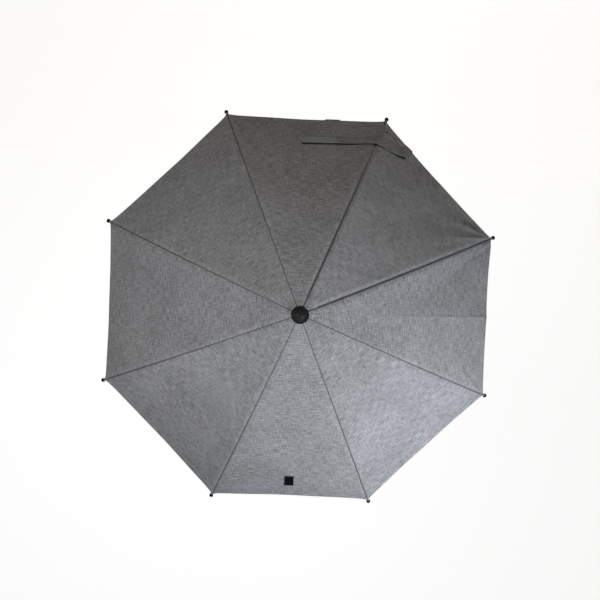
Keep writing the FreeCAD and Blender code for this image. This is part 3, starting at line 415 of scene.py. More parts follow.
def cloth_material(name, dark, light, painted_shade_colour):
    """Grey melange cloth: slubs across and along, finer yarn streaks, a plain weave in the bump, and painted
    shade where the mesh marks it.
    """
    graph = Graph(name)
    flat = graph.woven()
    weft = graph.noise(flat, WEFT_SCALE, detail=3)
    warp = graph.noise(flat, WARP_SCALE, detail=3)
    yarn = graph.noise(flat, YARN_SCALE)
    cloud = graph.noise(flat, CLOUD_SCALE)
    tone = graph.weighed((weft, 0.44), (warp, 0.30), (yarn, 0.16), (cloud, 0.10))
    middle = tuple((a + b) / 2 for a, b in zip(dark, light))
    colour = graph.ramp(tone, (0.375, dark), (0.5, middle), (0.625, light))
    # Painted shade: the colour turns dark along the slit between gores and on the hem's rolled edge.
    painted_shade = graph.attribute("painted_shade")
    graph.set(Base_Color=graph.mixed(painted_shade, colour, painted_shade_colour))
    graph.set(Roughness=graph.spread(tone, 0.35, 0.65, 0.95, 0.82))
    graph.set(Sheen_Weight=0.12, Sheen_Roughness=0.6, Specular_IOR_Level=0.25)
    over = graph.bands(flat, THREAD_PITCH, "X")
    under = graph.bands(flat, THREAD_PITCH, "Y")
    weave = graph.math("MULTIPLY", over, under)
    relief = graph.weighed((weave, 0.35), (weft, 0.9), (warp, 0.6))
    graph.bump(relief, strength=0.35, distance=0.0006)
    return graph.material


def hook_tape_material():
    """Hook-and-loop tape: short stiff loops in rows, a little bluer than the cloth."""
    graph = Graph("hook_tape")
    flat = graph.woven()
    loops = graph.noise(flat, (1300, 1300, 1), detail=3, roughness=0.7)
    rows = graph.bands(flat, 0.0016, "Y")
    tone = graph.weighed((loops, 0.75), (rows, 0.25))
    graph.set(Base_Color=graph.ramp(tone, (0.3, (0.09, 0.10, 0.099)), (0.7, (0.20, 0.218, 0.214))))
    graph.set(Roughness=graph.spread(tone, NOISE_LOW, NOISE_HIGH, 0.75, 0.5), Sheen_Weight=0.2)
    graph.bump(tone, strength=0.6, distance=0.0008)
    return graph.material


def label_material():
    """Bare black woven label: fine satin rows."""
    graph = Graph("woven_label")
    flat = graph.woven()
    rows = graph.bands(flat, 0.0005, "Y")
    yarn = graph.noise(flat, (2200, 300, 1))
    tone = graph.weighed((rows, 0.4), (yarn, 0.6))
    graph.set(Base_Color=graph.ramp(tone, (0.3, (0.002, 0.002, 0.0022)), (0.75, (0.007, 0.007, 0.0078))))
    graph.set(Roughness=graph.spread(tone, NOISE_LOW, NOISE_HIGH, 0.9, 0.7), Specular_IOR_Level=0.01)
    graph.bump(tone, strength=0.5, distance=0.0003)
    return graph.material


def thread_material(name, dark, light):
    """Sewing thread: a fine twist in colour and bump."""
    graph = Graph(name)
    twist = graph.noise(graph.place(), (2600, 2600, 2600))
    graph.set(Base_Color=graph.ramp(twist, (0.35, dark), (0.65, light)))
    graph.set(Roughness=graph.spread(twist, NOISE_LOW, NOISE_HIGH, 0.7, 0.5))
    graph.bump(twist, strength=0.4, distance=0.0002)
    return graph.material


def moulded_material(name, dark, light, grain, rough_from, rough_to, gloss):
    """Black moulded plastic: fine grain, handling marks in the gloss, edges rubbed paler."""
    graph = Graph(name)
    place = graph.place()
    fine = graph.noise(place, (grain, grain, grain), detail=2)
    hands = graph.noise(place, (70, 70, 70), detail=4, roughness=0.65)
    colour = graph.ramp(hands, (0.3, dark), (0.7, light))
    rubbed = graph.math("MULTIPLY", graph.edge_wear(0.0006), graph.spread(hands, 0.4, 0.65, 0.15, 0.8))
    graph.set(Base_Color=graph.mixed(rubbed, colour, tuple(RUBBED_PALER * value for value in light)))
    graph.set(Roughness=graph.spread(hands, NOISE_LOW, NOISE_HIGH, rough_from, rough_to))
    graph.set(Specular_IOR_Level=gloss)
    graph.bump(fine, strength=0.22, distance=0.0003)
    return graph.material


def metal_material(name, dark, light, stretch, rough_from, rough_to):
    """Metal with drawn or brushed marks, stretched along one direction."""
    graph = Graph(name)
    place = graph.place()
    marks = graph.noise(place, stretch, detail=4, roughness=0.6)
    cloud = graph.noise(place, (45, 45, 45), detail=3)
    tone = graph.weighed((marks, 0.65), (cloud, 0.35))
    graph.set(Base_Color=graph.ramp(tone, (0.35, dark), (0.65, light)), Metallic=1.0)
    graph.set(Roughness=graph.spread(tone, NOISE_LOW, NOISE_HIGH, rough_from, rough_to))
    graph.bump(marks, strength=0.08, distance=0.0002)
    return graph.material


def painted_material():
    """Dark paint on drawn steel: slight orange peel, worn to bare metal along edges."""
    graph = Graph("rib_paint_dark")
    place = graph.place()
    peel = graph.noise(place, (900, 900, 900))
    drift = graph.noise(place, (60, 60, 60), detail=4)
    paint = graph.ramp(drift, (0.3, (0.014, 0.014, 0.015)), (0.7, (0.027, 0.027, 0.029)))
    worn = graph.math("MULTIPLY", graph.edge_wear(0.0003), graph.spread(drift, 0.52, 0.62, 0.0, 0.7))
    graph.set(Base_Color=graph.mixed(worn, paint, (0.32, 0.32, 0.33)))
    graph.set(Roughness=graph.spread(drift, NOISE_LOW, NOISE_HIGH, 0.28, 0.45))
    graph.bump(peel, strength=0.12, distance=0.0002)
    return graph.material


def rubber_material():
    """Matt grey-black rubber with a dusty bloom."""
    graph = Graph("pad_rubber_dark")
    place = graph.place()
    fine = graph.noise(place, (1500, 1500, 1500), detail=3)
    bloom = graph.noise(place, (110, 110, 110), detail=5, roughness=0.7)
    graph.set(Base_Color=graph.ramp(bloom, (0.35, (0.018, 0.018, 0.018)), (0.7, (0.05, 0.05, 0.049))))
    graph.set(Roughness=graph.spread(bloom, NOISE_LOW, NOISE_HIGH, 0.78, 0.95), Specular_IOR_Level=0.3)
    graph.bump(fine, strength=0.35, distance=0.0003)
    return graph.material


def smooth_step(value):
    value = min(1.0, max(0.0, value))
    return value * value * (3 - 2 * value)


def arc_place(along, lift):
    """Radius and height of a point over a rib's arc."""
    slope = CROWN_SLOPE + along / ARC_RADIUS
    reach = ARC_RADIUS + lift
    return ARC_CENTRE_R + reach * math.sin(slope), ARC_CENTRE_Z + reach * math.cos(slope)


def rib_angle(number):
    return FIRST_RIB + GORE * (number - 1)


def rib_direction(number):
    return Vector((math.cos(rib_angle(number)), math.sin(rib_angle(number)), 0))


def gore_width(along):
    return 2 * arc_place(along, 0)[0] * math.sin(GORE / 2)


def hem_along(gore, share):
    """Where a gore's hem lies at a share of its width: hollow between the tips, and drawn out to them."""
    from_rib = min(share, 1 - share) * gore_width(FABRIC_LENGTH)
    along = FABRIC_LENGTH - HEM_HOLLOW * 4 * share * (1 - share)
    along += CORNER_PULL * math.exp(-from_rib / CORNER_WIDTH)
    if gore % RIB_COUNT == CREASED_GORE % RIB_COUNT and share > 0.5:
        near = from_rib / LOOSE_HEM_AT
        along += LOOSE_HEM * near * math.exp(1 - near)
    return along


def gore_point(gore, share, along, lift):
    """A point of a gore, straight across between its two ribs."""
    radius, height = arc_place(along, lift)
    across = rib_direction(gore).lerp(rib_direction(gore + 1), share)
    return Vector((radius * across.x, radius * across.y, height))


def tip_folds(from_rib, from_end, height):
    """Fan of sharp tension folds that starts at a rib's tip."""
    reach = math.hypot(from_rib, from_end)
    angle = math.atan2(from_rib, max(from_end, 0.0))
    fade = math.exp(-(reach / TIP_FOLD_REACH) ** 2) * smooth_step(reach / TIP_FOLD_START)
    return height * fade * (1 - abs(math.cos(TIP_FOLD_COUNT * (angle - TIP_FOLD_TURN))))


def loose_flap(from_rib, from_end, width, loose_side):
    """Extra lift of the creased gore's cloth: the loose side dips, and the crease stands up."""
    inner = 1 - smooth_step((from_end - FLAP_GROWS_BY) / (FLAP_FADES_BY - FLAP_GROWS_BY))
    rise = FLAP_RISE * inner
    if not loose_side:
        return rise * math.exp(-(width / 2 - from_rib) / FLAP_RISE_REACH)
    depth = FLAP_HEM_SHARE + (1 - FLAP_HEM_SHARE) * smooth_step(from_end / FLAP_GROWS_BY)
    depth *= FLAP_DEPTH * inner
    foot = min(FLAP_START + FLAP_SLANT * max(from_end, 0.0), FLAP_WIDEST * width)
    grown = smooth_step(from_end / RIDGE_GROWS_BY) * (1 - smooth_step(from_end / RIDGE_FADES_BY))
    off_ridge = from_rib - RIDGE_START - RIDGE_SLANT * max(from_end, 0.0)
    ridge = RIDGE_HEIGHT * grown * math.exp(-(off_ridge / RIDGE_WIDTH) ** 2)
    if from_rib < foot:
        return ridge - depth * from_rib / foot
    return ridge - depth + (depth + rise) * (from_rib - foot) / (width / 2 - foot)


def slit_width(rib, along):
    """Half width of the slit where two gores meet, dipped and painted dark as its shade: wider towards the
    hem, and on the tight ribs.
    """
    tight = SLIT_TIGHT if rib in TIGHT_RIBS else 0.0
    return SLIT_WIDTH + tight + SLIT_WIDENS * smooth_step(along / FABRIC_LENGTH)


def cloth_lift(gore, share, along):
    """Lift of the cloth's outer face over the ribs' arc, with its sag, seams, puckers and folds."""
    gore = (gore - 1) % RIB_COUNT + 1
    width = gore_width(along)
    from_rib = min(share, 1 - share) * width
    grown = smooth_step((along - FABRIC_START) / LIFT_GROWS_BY)
    lift = CROWN_LIFT + (CLOTH_LIFT - CROWN_LIFT) * grown
    between = 4 * share * (1 - share)
    down = math.pi * max(along, 0.0) / FABRIC_LENGTH
    lift -= SAG * between * math.sin(SAG_REACH * down)
    rib = gore if share < 0.5 else gore % RIB_COUNT + 1
    from_end = hem_along(gore, share) - along
    groove = GROOVE_STRONG if rib in TIGHT_RIBS else GROOVE_DEPTH
    groove *= smooth_step(from_end / GROOVE_ENDS)
    lift -= grown * groove * math.exp(-(from_rib / GROOVE_WIDTH) ** 2)
    lift -= grown * SLIT_DEPTH * math.exp(-(from_rib / slit_width(rib, along)) ** 2)
    shift = SEAM_PUCKER_SHIFT * gore + (SEAM_PUCKER_SIDE_SHIFT if share > 0.5 else 0)
    ripple = math.sin(2 * math.pi * along / SEAM_PUCKER_PITCH + shift)
    near_seam = math.exp(-from_rib / SEAM_PUCKER_REACH) * smooth_step(from_rib / GROOVE_WIDTH)
    lift += grown * SEAM_PUCKER * ripple * near_seam
    gather = math.sin(2 * math.pi * CROWN_PUCKERS * share + CROWN_PUCKER_SHIFT * gore)
    gather *= math.sin(math.pi * share)
    lift += CROWN_PUCKER * gather * math.exp(-max(along, 0) / CROWN_PUCKER_REACH) * grown
    strong = gore == CREASED_GORE
    fanned = gore in FANNED_GORES and share < 0.5
    lift += tip_folds(from_rib, from_end, TIP_FOLD_STRONG if fanned else TIP_FOLD)
    from_middle = abs(share - 0.5) * width
    outer = smooth_step((along - CREASE_FROM) / CREASE_FROM)
    lift += (CREASE_STRONG if strong else CREASE) * math.exp(-from_middle / CREASE_REACH) * outer
    if strong:
        lift += loose_flap(from_rib, from_end, width, share > 0.5)
    across = (share - 0.5) * width
    turns = across / SLACK_ACROSS + along / SLACK_ALONG
    wave = math.sin(2 * math.pi * turns + SLACK_SHIFT * gore)
    return lift + SLACK * between * wave


def cloth_point(gore, share, along, above):
    """A point of the cloth, above its outer face by that much."""
    return gore_point(gore, share, along, cloth_lift(gore, share, along) + above)


def weave_place(gore, share, along):
    """Where a point of a gore lies on the flat cloth, with each gore cut from another part of it."""
    across = (share - 0.5) * gore_width(along)
    return across + WEAVE_SHIFT[0] * gore, along + WEAVE_SHIFT[1] * gore


def finished_object(name, points, faces, material, places=None, sharp=()):
    """A smooth mesh object. Places are the cloth's flat places, one for each corner of each face."""
    mesh = bpy.data.meshes.new(name)
    mesh.from_pydata([tuple(point) for point in points], [], faces)
    mesh.update()
    for polygon in mesh.polygons:
        polygon.use_smooth = True
    if places:
        layer = mesh.uv_layers.new(name="weave")
        for corner, place in zip(layer.data, places):
            corner.uv = place
    if sharp:
        for edge in mesh.edges:
            if tuple(sorted(edge.vertices)) in sharp:
                edge.use_edge_sharp = True
    mesh.materials.append(material)
    made = bpy.data.objects.new(name, mesh)
    bpy.context.scene.collection.objects.link(made)
    return made


def soften(piece, number):
    """The piece rides on a rib, with its own copy of the mesh."""
    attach(piece, f"rib_{number}")
    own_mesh(piece)


def column_shares(along):
    """Shares of the gore's width from a rib to mid-gore, closer together beside the seam."""
    width = gore_width(along)
    squeeze = min(1.0, NEAR_COLUMNS_MOST * width / NEAR_COLUMNS[-1])
    near = [squeeze * distance for distance in NEAR_COLUMNS]
    far = []
    begin = 0.0
    for end, count in COLUMN_ZONES:
        grades = [begin + (end - begin) * (step + 1) / count for step in range(count)]
        far += [near[-1] + (width / 2 - near[-1]) * grade for grade in grades]
        begin = end
    return [0.0] + [distance / width for distance in near + far]


def row_list():
    """Rows of a canopy piece: down its outer face, round the folded hem and back up its inner face.

    Each is the share of the way to the hem band, or None, then the distance from the hem, and the
    lift over the outer face.
    """
    down = [(count / CLOTH_ROWS, HEM_BAND, 0.0) for count in range(CLOTH_ROWS + 1)]
    hem = [(None, from_hem, above) for from_hem, above in HEM_PROFILE]
    up = [(share, from_hem, -CLOTH_THICKNESS) for share, from_hem, _ in reversed(down)]
    return down + hem + up


def make_canopy_piece(number, material):
    """The cloth over one rib: half of the gore on each side of its seam, with the hem folded under."""
    half = len(NEAR_COLUMNS) + sum(count for _, count in COLUMN_ZONES)
    columns = range(-half, half + 1)
    rows = row_list()
    points = []
    flat = []
    painted_shade = []
    for share_down, from_hem, above in rows:
        nominal = FABRIC_LENGTH - from_hem
        if share_down is not None:
            nominal = FABRIC_START + share_down * (FABRIC_LENGTH - from_hem - FABRIC_START)
        shares = column_shares(nominal)
        for column in columns:
            gore = number - 1 if column < 0 else number
            share = 1 - shares[-column] if column < 0 else shares[column]
            along = hem_along(gore, share) - from_hem
            if share_down is not None:
                along = FABRIC_START + share_down * (along - FABRIC_START)
            points.append(cloth_point(gore, share, along, above))
            other_side = weave_place(number - 1, 1 - share if column >= 0 else share, along)
            flat.append((other_side, weave_place(number, share if column >= 0 else 1 - share, along)))
            from_rib = min(share, 1 - share) * gore_width(along)
            # Painted shade: dark along the slit between gores, and on the rolled edge of the hem.
            line = math.exp(-(from_rib / slit_width(number, along)) ** 2)
            painted_shade.append(max(line, EDGE_SHADE if share_down is None and from_hem < EDGE_WIDTH else 0.0))
    wide = len(columns)
    faces = []
    places = []
    for row in range(len(rows)):
        below = (row + 1) % len(rows)
        for column in range(wide - 1):
            corners = (row * wide + column, below * wide + column,
                       below * wide + column + 1, row * wide + column + 1)
            faces.append(corners)
            places.extend(flat[corner][1 if column >= half else 0] for corner in corners)
    sharp = set()
    last = len(rows) - 1
    for row in range(last // 2):
        for side, column in ((0, 0), (1, wide - 1)):
            outer, outer_next = row * wide + column, (row + 1) * wide + column
            inner, inner_next = (last - row) * wide + column, (last - row - 1) * wide + column
            wall = (outer, inner, inner_next, outer_next)
            if side == 1:
                wall = (outer, outer_next, inner_next, inner)
            if inner_next == outer_next:
                wall = tuple(dict.fromkeys(wall))
            faces.append(wall)
            places.extend(flat[corner][side] for corner in wall)
            sharp.add(tuple(sorted((outer, outer_next))))
            sharp.add(tuple(sorted((inner, inner_next))))
    for column in range(wide - 1):
        for row in (0, last):
            sharp.add((row * wide + column, row * wide + column + 1))
    piece = finished_object(f"canopy_cloth_{number}", points, faces, material, places, sharp)
    # Painted shade along the slits and the hem's edge, kept on the mesh for the cloth's colour.
    shade = piece.data.attributes.new("painted_shade", "FLOAT", "POINT")
    shade.data.foreach_set("value", painted_shade)
    return piece


def add_spindle(points, faces, start, end):
    """One stitch: a short thread that dips into the cloth at both ends."""
    along = (end - start).normalized()
    across = along.orthogonal().normalized()
    upright = along.cross(across)
    first = len(points)
    sides = STITCH_SIDES
    for share, width in STITCH_PROFILE:
        centre = start.lerp(end, share)
        radius = STITCH_RADIUS * width
        for side in range(sides):
            angle = 2 * math.pi * side / sides
            points.append(centre + radius * (math.cos(angle) * across + math.sin(angle) * upright))
    last = len(STITCH_PROFILE) - 1
    for ring in range(last):
        for side in range(sides):
            one, other = first + ring * sides + side, first + ring * sides + (side + 1) % sides
            faces.append((one, other, other + sides, one + sides))
    faces.append(tuple(first + side for side in reversed(range(sides))))
    faces.append(tuple(first + last * sides + side for side in range(sides)))


def stitched(name, runs, material):
    """Stitches along runs of points, each run a function of the distance and its length."""
    points = []
    faces = []
    for place_at, length in runs:
        count = int(length / STITCH_PITCH)
        for stitch in range(count):
            begin = (stitch + 0.5) * length / count - STITCH_LENGTH / 2
            add_spindle(points, faces, place_at(begin), place_at(begin + STITCH_LENGTH))
    return finished_object(name, points, faces, material)


def make_hem_stitches(number, material):
    """The line of stitches that holds the hem's fold, over one canopy piece."""
    width = gore_width(FABRIC_LENGTH)

    def right(distance):
        share = distance / width
        return cloth_point(number, share, hem_along(number, share) - HEM_STITCH_AT, STITCH_LIFT)

    def left(distance):
        share = 1 - distance / width
        return cloth_point(number - 1, share, hem_along(number - 1, share) - HEM_STITCH_AT, STITCH_LIFT)

    return stitched(f"hem_stitches_{number}", ((left, width / 2), (right, width / 2)), material)


def make_band(name, stations, profile, place, flat, material):
    """A closed band through stations, each with the same cross-section.

    Place gives a point from a station and a pair of the profile, and flat the pair's place on the cloth.
    """
    points = [place(station, across, up) for station in stations for across, up in profile]
    spots = [flat(station, across) for station in stations for across, _ in profile]
    around = len(profile)
    faces = []
    for ring in range(len(stations) - 1):
        for side in range(around):
            one, other = ring * around + side, ring * around + (side + 1) % around
            faces.append((one, other, other + around, one + around))
    faces.append(tuple(reversed(range(around))))
    faces.append(tuple((len(stations) - 1) * around + side for side in range(around)))
    places = [spots[corner] for face in faces for corner in face]
    return finished_object(name, points, faces, material, places)


def shade_band(band, shade):
    """Painted shade on parts of a band's cross-section, such as the strap's inner edge."""
    values = [shade(across) for across, _ in BAND_PROFILE]
    layer = band.data.attributes.new("painted_shade", "FLOAT", "POINT")
    layer.data.foreach_set("value", values * (len(band.data.vertices) // len(values)))


def evenly(start, end, count):
    return [start + (end - start) * step / count for step in range(count + 1)]


def strap_place(step, across, above):
    """A point over the cloth on the strap's path. Step counts along it, and across from its inner edge."""
    index = min(int(step), len(STRAP_PATH) - 2)
    blend = step - index
    here, there = STRAP_PATH[index], STRAP_PATH[index + 1]
    between = [a + (b - a) * blend for a, b in zip(here, there)]
    inner_reach, inner_depth, outer_reach, outer_depth, _ = between
    reach = inner_reach + (outer_reach - inner_reach) * across
    depth = inner_depth + (outer_depth - inner_depth) * across
    gore = STRAP_RIB - 1 if reach < 0 else STRAP_RIB
    along = FABRIC_LENGTH - depth
    width = gore_width(along)
    share = abs(reach) / width
    bridge = max(share, STRAP_BRIDGE / width)
    spot, bridged = (1 - share, 1 - bridge) if reach < 0 else (share, bridge)
    lift = cloth_lift(gore, bridged, min(along, FABRIC_LENGTH - HEM_STITCH_AT))
    lift += STRAP_WAVE * (1 + math.sin(2 * math.pi * reach / STRAP_WAVE_PITCH)) * (1 - across)
    lift += STRAP_HUMP * math.exp(-((reach - STRAP_HUMP_AT) / STRAP_HUMP_WIDTH) ** 2) * (1 - across)
    hem = hem_along(gore, spot)
    over = along - hem
    if over > 0:
        turn = min(over / HEM_WRAP, math.pi)
        along = hem + (HEM_WRAP + above) * math.sin(turn) - max(0.0, over - math.pi * HEM_WRAP)
        return gore_point(gore, spot, along, lift - HEM_WRAP + (HEM_WRAP + above) * math.cos(turn))
    return gore_point(gore, spot, along, lift + above)


def strap_flat(step, across):
    return STRAP_LENGTH * step / (len(STRAP_PATH) - 1), across * STRAP_WIDTH


def make_strap(materials):
    """The closing strap: sewn over the hem, turned across the rib, with hook tape on it and a dark sheet
    under it as painted shadow.
    """
    def on_strap(step, across, up):
        rise = (TRIM_GAP + SHADOW_SHEET_THICKNESS) * (1 - across) + STRAP_LEAST_GAP
        thickness = STRAP_THICKNESS * (1 - STRAP_THINS * smooth_step(across))
        return strap_place(step, across, rise + up * thickness)

    def on_tape(step, across, up):
        inset = TAPE_MARGIN / STRAP_WIDTH
        return on_strap(step, inset + (1 - 2 * inset) * across, 1.0 + up * TAPE_THICKNESS / STRAP_THICKNESS)

    # A dark sheet under the strap that shows along its inner edge: painted shadow.
    def shadow_under_strap(step, across, up):
        index = min(int(step), len(STRAP_PATH) - 2)
        shows = STRAP_PATH[index][-1] + (STRAP_PATH[index + 1][-1] - STRAP_PATH[index][-1]) * (step - index)
        spot = -shows / STRAP_WIDTH + SHADOW_SHEET_SHARE * across
        return strap_place(step, spot, TRIM_GAP + up * SHADOW_SHEET_THICKNESS)

    end = len(STRAP_PATH) - 1
    stations = evenly(0, end, STRAP_STEPS * end)
    strap = make_band("closing_strap", stations, BAND_PROFILE, on_strap, strap_flat, materials["cloth"])
    stations = evenly(TAPE_START, TAPE_END, STRAP_STEPS)
    tape = make_band("strap_hook_tape", stations, BAND_PROFILE, on_tape, strap_flat, materials["hook"])
    # Painted shadow under the strap's inner edge.
    stations = evenly(SHADOW_SHEET_FIRST, SHADOW_SHEET_LAST, STRAP_STEPS * SHADOW_SHEET_LAST)
    shadow_sheet = make_band("strap_painted_shadow", stations, BAND_PROFILE, shadow_under_strap, strap_flat,
                         materials["label"])
    # Painted shade along the strap's inner edge.
    shade_band(strap, lambda across: STRAP_EDGE_SHADE if across < STRAP_EDGE else 0.0)
    for piece in (strap, tape, shadow_sheet):
        soften(piece, STRAP_RIB)
    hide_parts("strap")


def make_label(materials):
    """The bare woven label near the hem, with its folded edges stitched down."""
    bottom = hem_along(LABEL_RIB, 0.5) - LABEL_FROM_HEM
    width = gore_width(bottom)

    def place(offset, across, up):
        share = 0.5 + (offset - LABEL_OFF_MIDDLE) / width
        along = bottom - LABEL_HEIGHT * (1 - across)
        return cloth_point(LABEL_RIB, share, along, TRIM_GAP + up * LABEL_THICKNESS)

    def flat(offset, across):
        return offset, across * LABEL_HEIGHT

    stations = evenly(-LABEL_WIDTH / 2, LABEL_WIDTH / 2, LABEL_STATIONS)
    label = make_band("bare_label", stations, BAND_PROFILE, place, flat, materials["label"])
    rows = []
    for across in LABEL_STITCH_ROWS:
        def row(distance, across=across):
            return place(distance - LABEL_WIDTH / 2, across, 1.0)

        rows.append((row, LABEL_WIDTH))
    stitches = stitched("label_stitches", rows, materials["black_thread"])
    for piece in (label, stitches):
        soften(piece, LABEL_RIB)
    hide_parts("hem_label")


def make_keeper(materials):
    """The short loop under the hem that the strap is closed through."""
    width = gore_width(FABRIC_LENGTH)
    half = KEEPER_WIDTH / 2

    def place(offset, across, up):
        share = KEEPER_SHARE + offset / width
        corner = smooth_step((half - abs(offset)) / KEEPER_PROUD)
        reach = -KEEPER_DEPTH + (KEEPER_DEPTH + KEEPER_PROUD * corner) * across
        hem = hem_along(STRAP_RIB, share)
        base = cloth_lift(STRAP_RIB, share, hem - HEM_STITCH_AT)
        return gore_point(STRAP_RIB, share, hem + reach, base + KEEPER_LIFT + up * KEEPER_THICKNESS)

    def flat(offset, across):
        return offset, across * (KEEPER_DEPTH + KEEPER_PROUD)

    keeper = make_band("strap_keeper", evenly(-half, half, KEEPER_STATIONS), BAND_PROFILE, place, flat,
                       materials["cloth"])
    soften(keeper, STRAP_RIB)


def make_tip_sleeve(number, materials):
    """The cloth's corner gathered round the tip's neck and whipped with thread."""
    outward = rib_direction(number)

    def rib_point(along):
        radius, height = arc_place(along, 0.0)
        return Vector((radius * outward.x, radius * outward.y, height))

    start = rib_point(FABRIC_LENGTH + SLEEVE_START)
    end = rib_point(RIB_LENGTH - SLEEVE_INTO_BALL * TIP_BALL_RADIUS)
    along = (end - start).normalized()
    side = Vector((-outward.y, outward.x, 0))
    up = side.cross(along).normalized() * -1
    points = []
    flat = []
    for share, radius in SLEEVE_PROFILE:
        for step in range(SLEEVE_SIDES):
            angle = 2 * math.pi * step / SLEEVE_SIDES
            gather = radius * (1 + SLEEVE_GATHER * (1 - share) * math.sin(SLEEVE_GATHERS * angle + number))
            points.append(start.lerp(end, share) + gather * (math.cos(angle) * up + math.sin(angle) * side))
            flat.append((radius * angle, share * (end - start).length))
    faces = []
    for ring in range(len(SLEEVE_PROFILE) - 1):
        for step in range(SLEEVE_SIDES):
            one, other = ring * SLEEVE_SIDES + step, ring * SLEEVE_SIDES + (step + 1) % SLEEVE_SIDES
            faces.append((one, other, other + SLEEVE_SIDES, one + SLEEVE_SIDES))
    places = [flat[corner] for face in faces for corner in face]
    sleeve = finished_object(f"tip_sleeve_{number}", points, faces, materials["cloth"], places)
    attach(sleeve, f"rib_{number}")
    return sleeve


def make_rosette(materials):
    """Gathered black washer between the cap and the cloth."""
    points = []
    flat = []
    sheets = ((ROSETTE_HOLE, ROSETTE_RADIUS, 1.0), (ROSETTE_RADIUS, ROSETTE_HOLE, 0.0))
    for first, last, face_up in sheets:
        for ring in range(ROSETTE_RINGS + 1):
            radius = first + (last - first) * ring / ROSETTE_RINGS
            outer = (radius - ROSETTE_HOLE) / (ROSETTE_RADIUS - ROSETTE_HOLE)
            for step in range(ROSETTE_SIDES):
                angle = 2 * math.pi * step / ROSETTE_SIDES
                uneven = ROSETTE_UNEVEN * math.sin(ROSETTE_UNEVEN_COUNT * angle)
                wave = math.sin(ROSETTE_LOBES * angle + uneven)
                reach = radius * (1 + ROSETTE_SCALLOP * outer * wave)
                _, height = arc_place(radius - PIVOT_RADIUS, CROWN_LIFT + TRIM_GAP)
                height += ROSETTE_RUFFLE * outer * outer * (1 + wave) + face_up * ROSETTE_THICKNESS
                points.append((reach * math.cos(angle) + ROSETTE_OFF[0] * outer,
                               reach * math.sin(angle) + ROSETTE_OFF[1] * outer, height))
                flat.append((radius * math.cos(angle), radius * math.sin(angle)))
    rings = len(points) // ROSETTE_SIDES
    faces = []
    for ring in range(rings):
        for step in range(ROSETTE_SIDES):
            one, other = ring * ROSETTE_SIDES + step, ring * ROSETTE_SIDES + (step + 1) % ROSETTE_SIDES
            below = (ring + 1) % rings - ring
            faces.append((one, one + below * ROSETTE_SIDES, other + below * ROSETTE_SIDES, other))
    places = [flat[corner] for face in faces for corner in face]
    rosette = finished_object("cap_rosette", points, faces, materials["label"], places)
    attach(rosette, "upper")


def make_all_materials():
    """Every finish by name. Colours are a dark and a light tone, and roughness runs from one to the other."""
    return {
        # The cloth's painted shade colour darkens the slits between gores and the hem's edge.
        "cloth": cloth_material("melange_cloth", dark=(0.085, 0.085, 0.087), light=(0.335, 0.336, 0.342),
                                painted_shade_colour=(0.02, 0.02, 0.022)),
        "hook": hook_tape_material(),
        "label": label_material(),
        "thread": thread_material("grey_thread", dark=(0.11, 0.11, 0.112), light=(0.24, 0.24, 0.245)),
        "black_thread": thread_material("black_thread", dark=(0.008, 0.008, 0.009),
                                        light=(0.02, 0.02, 0.021)),
        "plastic": moulded_material("moulded_black", dark=(0.012, 0.012, 0.013), light=(0.024, 0.024, 0.026),
                                    grain=1400, rough_from=0.36, rough_to=0.56, gloss=0.4),
        "cap": moulded_material("cap_black", dark=(0.010, 0.010, 0.0103), light=(0.018, 0.018, 0.0186),
                                grain=2600, rough_from=0.24, rough_to=0.36, gloss=0.05),
        "tip": moulded_material("tip_black", dark=(0.003, 0.003, 0.0032), light=(0.006, 0.006, 0.0064),
                                grain=2600, rough_from=0.5, rough_to=0.7, gloss=0.01),
        "tube": metal_material("tube_satin", dark=(0.34, 0.345, 0.36), light=(0.48, 0.485, 0.50),
                               stretch=(700, 700, 18), rough_from=0.26, rough_to=0.42),
        "steel": metal_material("steel_bright", dark=(0.42, 0.42, 0.43), light=(0.62, 0.62, 0.63),
                                stretch=(900, 900, 900), rough_from=0.22, rough_to=0.4),
        "paint": painted_material(),
        "rubber": rubber_material(),
    }


def finish_for(node):
    """The material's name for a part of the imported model."""
    if node == "top_cap":
        return "cap"
    if node.startswith("rib_tip"):
        return "tip"
    if node.startswith(("rib_", "stretcher_")):
        return "paint"
    if node.endswith("_tube"):
        return "tube"
    if node.endswith("_pad"):
        return "rubber"
    if node in ("crown_wire", "runner_wire", "top_spring", "tilt_pin", "button_spring", "swivel_bolt"):
        return "steel"
    return "plastic"


def dress_frame(materials):
    for name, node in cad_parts.items():
        node.data.materials.clear()
        node.data.materials.append(materials[finish_for(name)])


def make_canopy(materials):
    for number in range(1, RIB_COUNT + 1):
        cloth = make_canopy_piece(number, materials["cloth"])
        stitches = make_hem_stitches(number, materials["thread"])
        sleeve = make_tip_sleeve(number, materials)
        for piece in (cloth, stitches):
            soften(piece, number)
        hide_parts(f"canopy_panel_{number}")


def make_camera():
    data = bpy.data.cameras.new("photo_camera")
    data.sensor_width = SENSOR
    data.lens = LENS
    camera = bpy.data.objects.new("photo_camera", data)
    camera.location = CAMERA_PLACE
    camera.rotation_euler = [math.radians(angle) for angle in CAMERA_TURN]
    bpy.context.scene.collection.objects.link(camera)
    bpy.context.scene.camera = camera


def make_lamps():
    for name, (azimuth, elevation, distance, size, power, colour) in LAMPS.items():
        data = bpy.data.lights.new(name, "AREA")
        data.shape = "DISK"
        data.size = size
        data.energy = power
        data.color = colour
        if elevation < 0:
            data.spread = LOWER_BEAM
        lamp = bpy.data.objects.new(name, data)
        around, up = math.radians(azimuth), math.radians(elevation)
        out = Vector((math.cos(up) * math.cos(around), math.cos(up) * math.sin(around), math.sin(up)))
        lamp.location = Vector((0, 0, LAMP_CENTRE_Z)) + distance * out
        lamp.rotation_euler = out.to_track_quat("Z", "Y").to_euler()
        lamp.visible_camera = False
        bpy.context.scene.collection.objects.link(lamp)


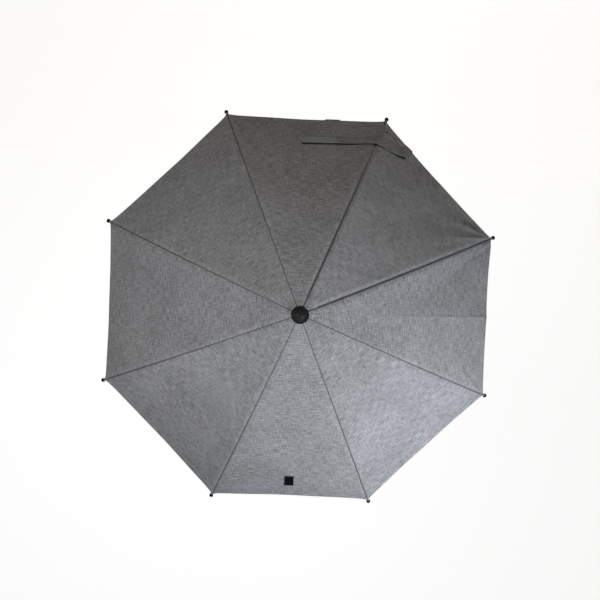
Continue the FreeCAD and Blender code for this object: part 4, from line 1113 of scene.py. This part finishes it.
def seen_directly(nodes, links):
    """1 for rays from the camera, and for those it sees by reflection or through glass."""
    path = nodes.new("ShaderNodeLightPath")
    most = path.outputs["Is Camera Ray"]
    for name in ("Is Glossy Ray", "Is Transmission Ray"):
        larger = nodes.new("ShaderNodeMath")
        larger.operation = "MAXIMUM"
        links.new(most, larger.inputs[0])
        links.new(path.outputs[name], larger.inputs[1])
        most = larger.outputs[0]
    return most


def make_surround():
    """White to look at, and a weak warm light on the object."""
    world = bpy.data.worlds.new("surround")
    world.use_nodes = True
    bpy.context.scene.world = world
    nodes, links = world.node_tree.nodes, world.node_tree.links
    fill = nodes["Background"]
    fill.inputs["Color"].default_value = (*FILL_COLOUR, 1)
    fill.inputs["Strength"].default_value = FILL_STRENGTH
    white = nodes.new("ShaderNodeBackground")
    white.inputs["Color"].default_value = WHITE
    choice = nodes.new("ShaderNodeMixShader")
    links.new(seen_directly(nodes, links), choice.inputs[0])
    links.new(fill.outputs[0], choice.inputs[1])
    links.new(white.outputs[0], choice.inputs[2])
    links.new(choice.outputs[0], nodes["World Output"].inputs["Surface"])


def make_floor():
    """Pale floor under the object. It glows white to the camera, and still takes a faint shadow."""
    corners = [(x * FLOOR_HALF, y * FLOOR_HALF, FLOOR_Z) for x, y in ((-1, -1), (1, -1), (1, 1), (-1, 1))]
    material = bpy.data.materials.new("pale_floor")
    material.use_nodes = True
    nodes, links = material.node_tree.nodes, material.node_tree.links
    shader = nodes["Principled BSDF"]
    shader.inputs["Base Color"].default_value = FLOOR_COLOUR
    shader.inputs["Roughness"].default_value = FLOOR_ROUGHNESS
    shader.inputs["Emission Color"].default_value = WHITE
    glow = nodes.new("ShaderNodeMath")
    glow.operation = "MULTIPLY"
    glow.inputs[1].default_value = FLOOR_GLOW
    links.new(seen_directly(nodes, links), glow.inputs[0])
    links.new(glow.outputs[0], shader.inputs["Emission Strength"])
    finished_object("floor", corners, [(0, 1, 2, 3)], material)


bpy.context.scene.view_settings.view_transform = "Standard"
materials = make_all_materials()
make_camera()
make_lamps()
make_surround()
make_floor()
dress_frame(materials)
make_canopy(materials)
make_strap(materials)
make_label(materials)
make_keeper(materials)
make_rosette(materials)
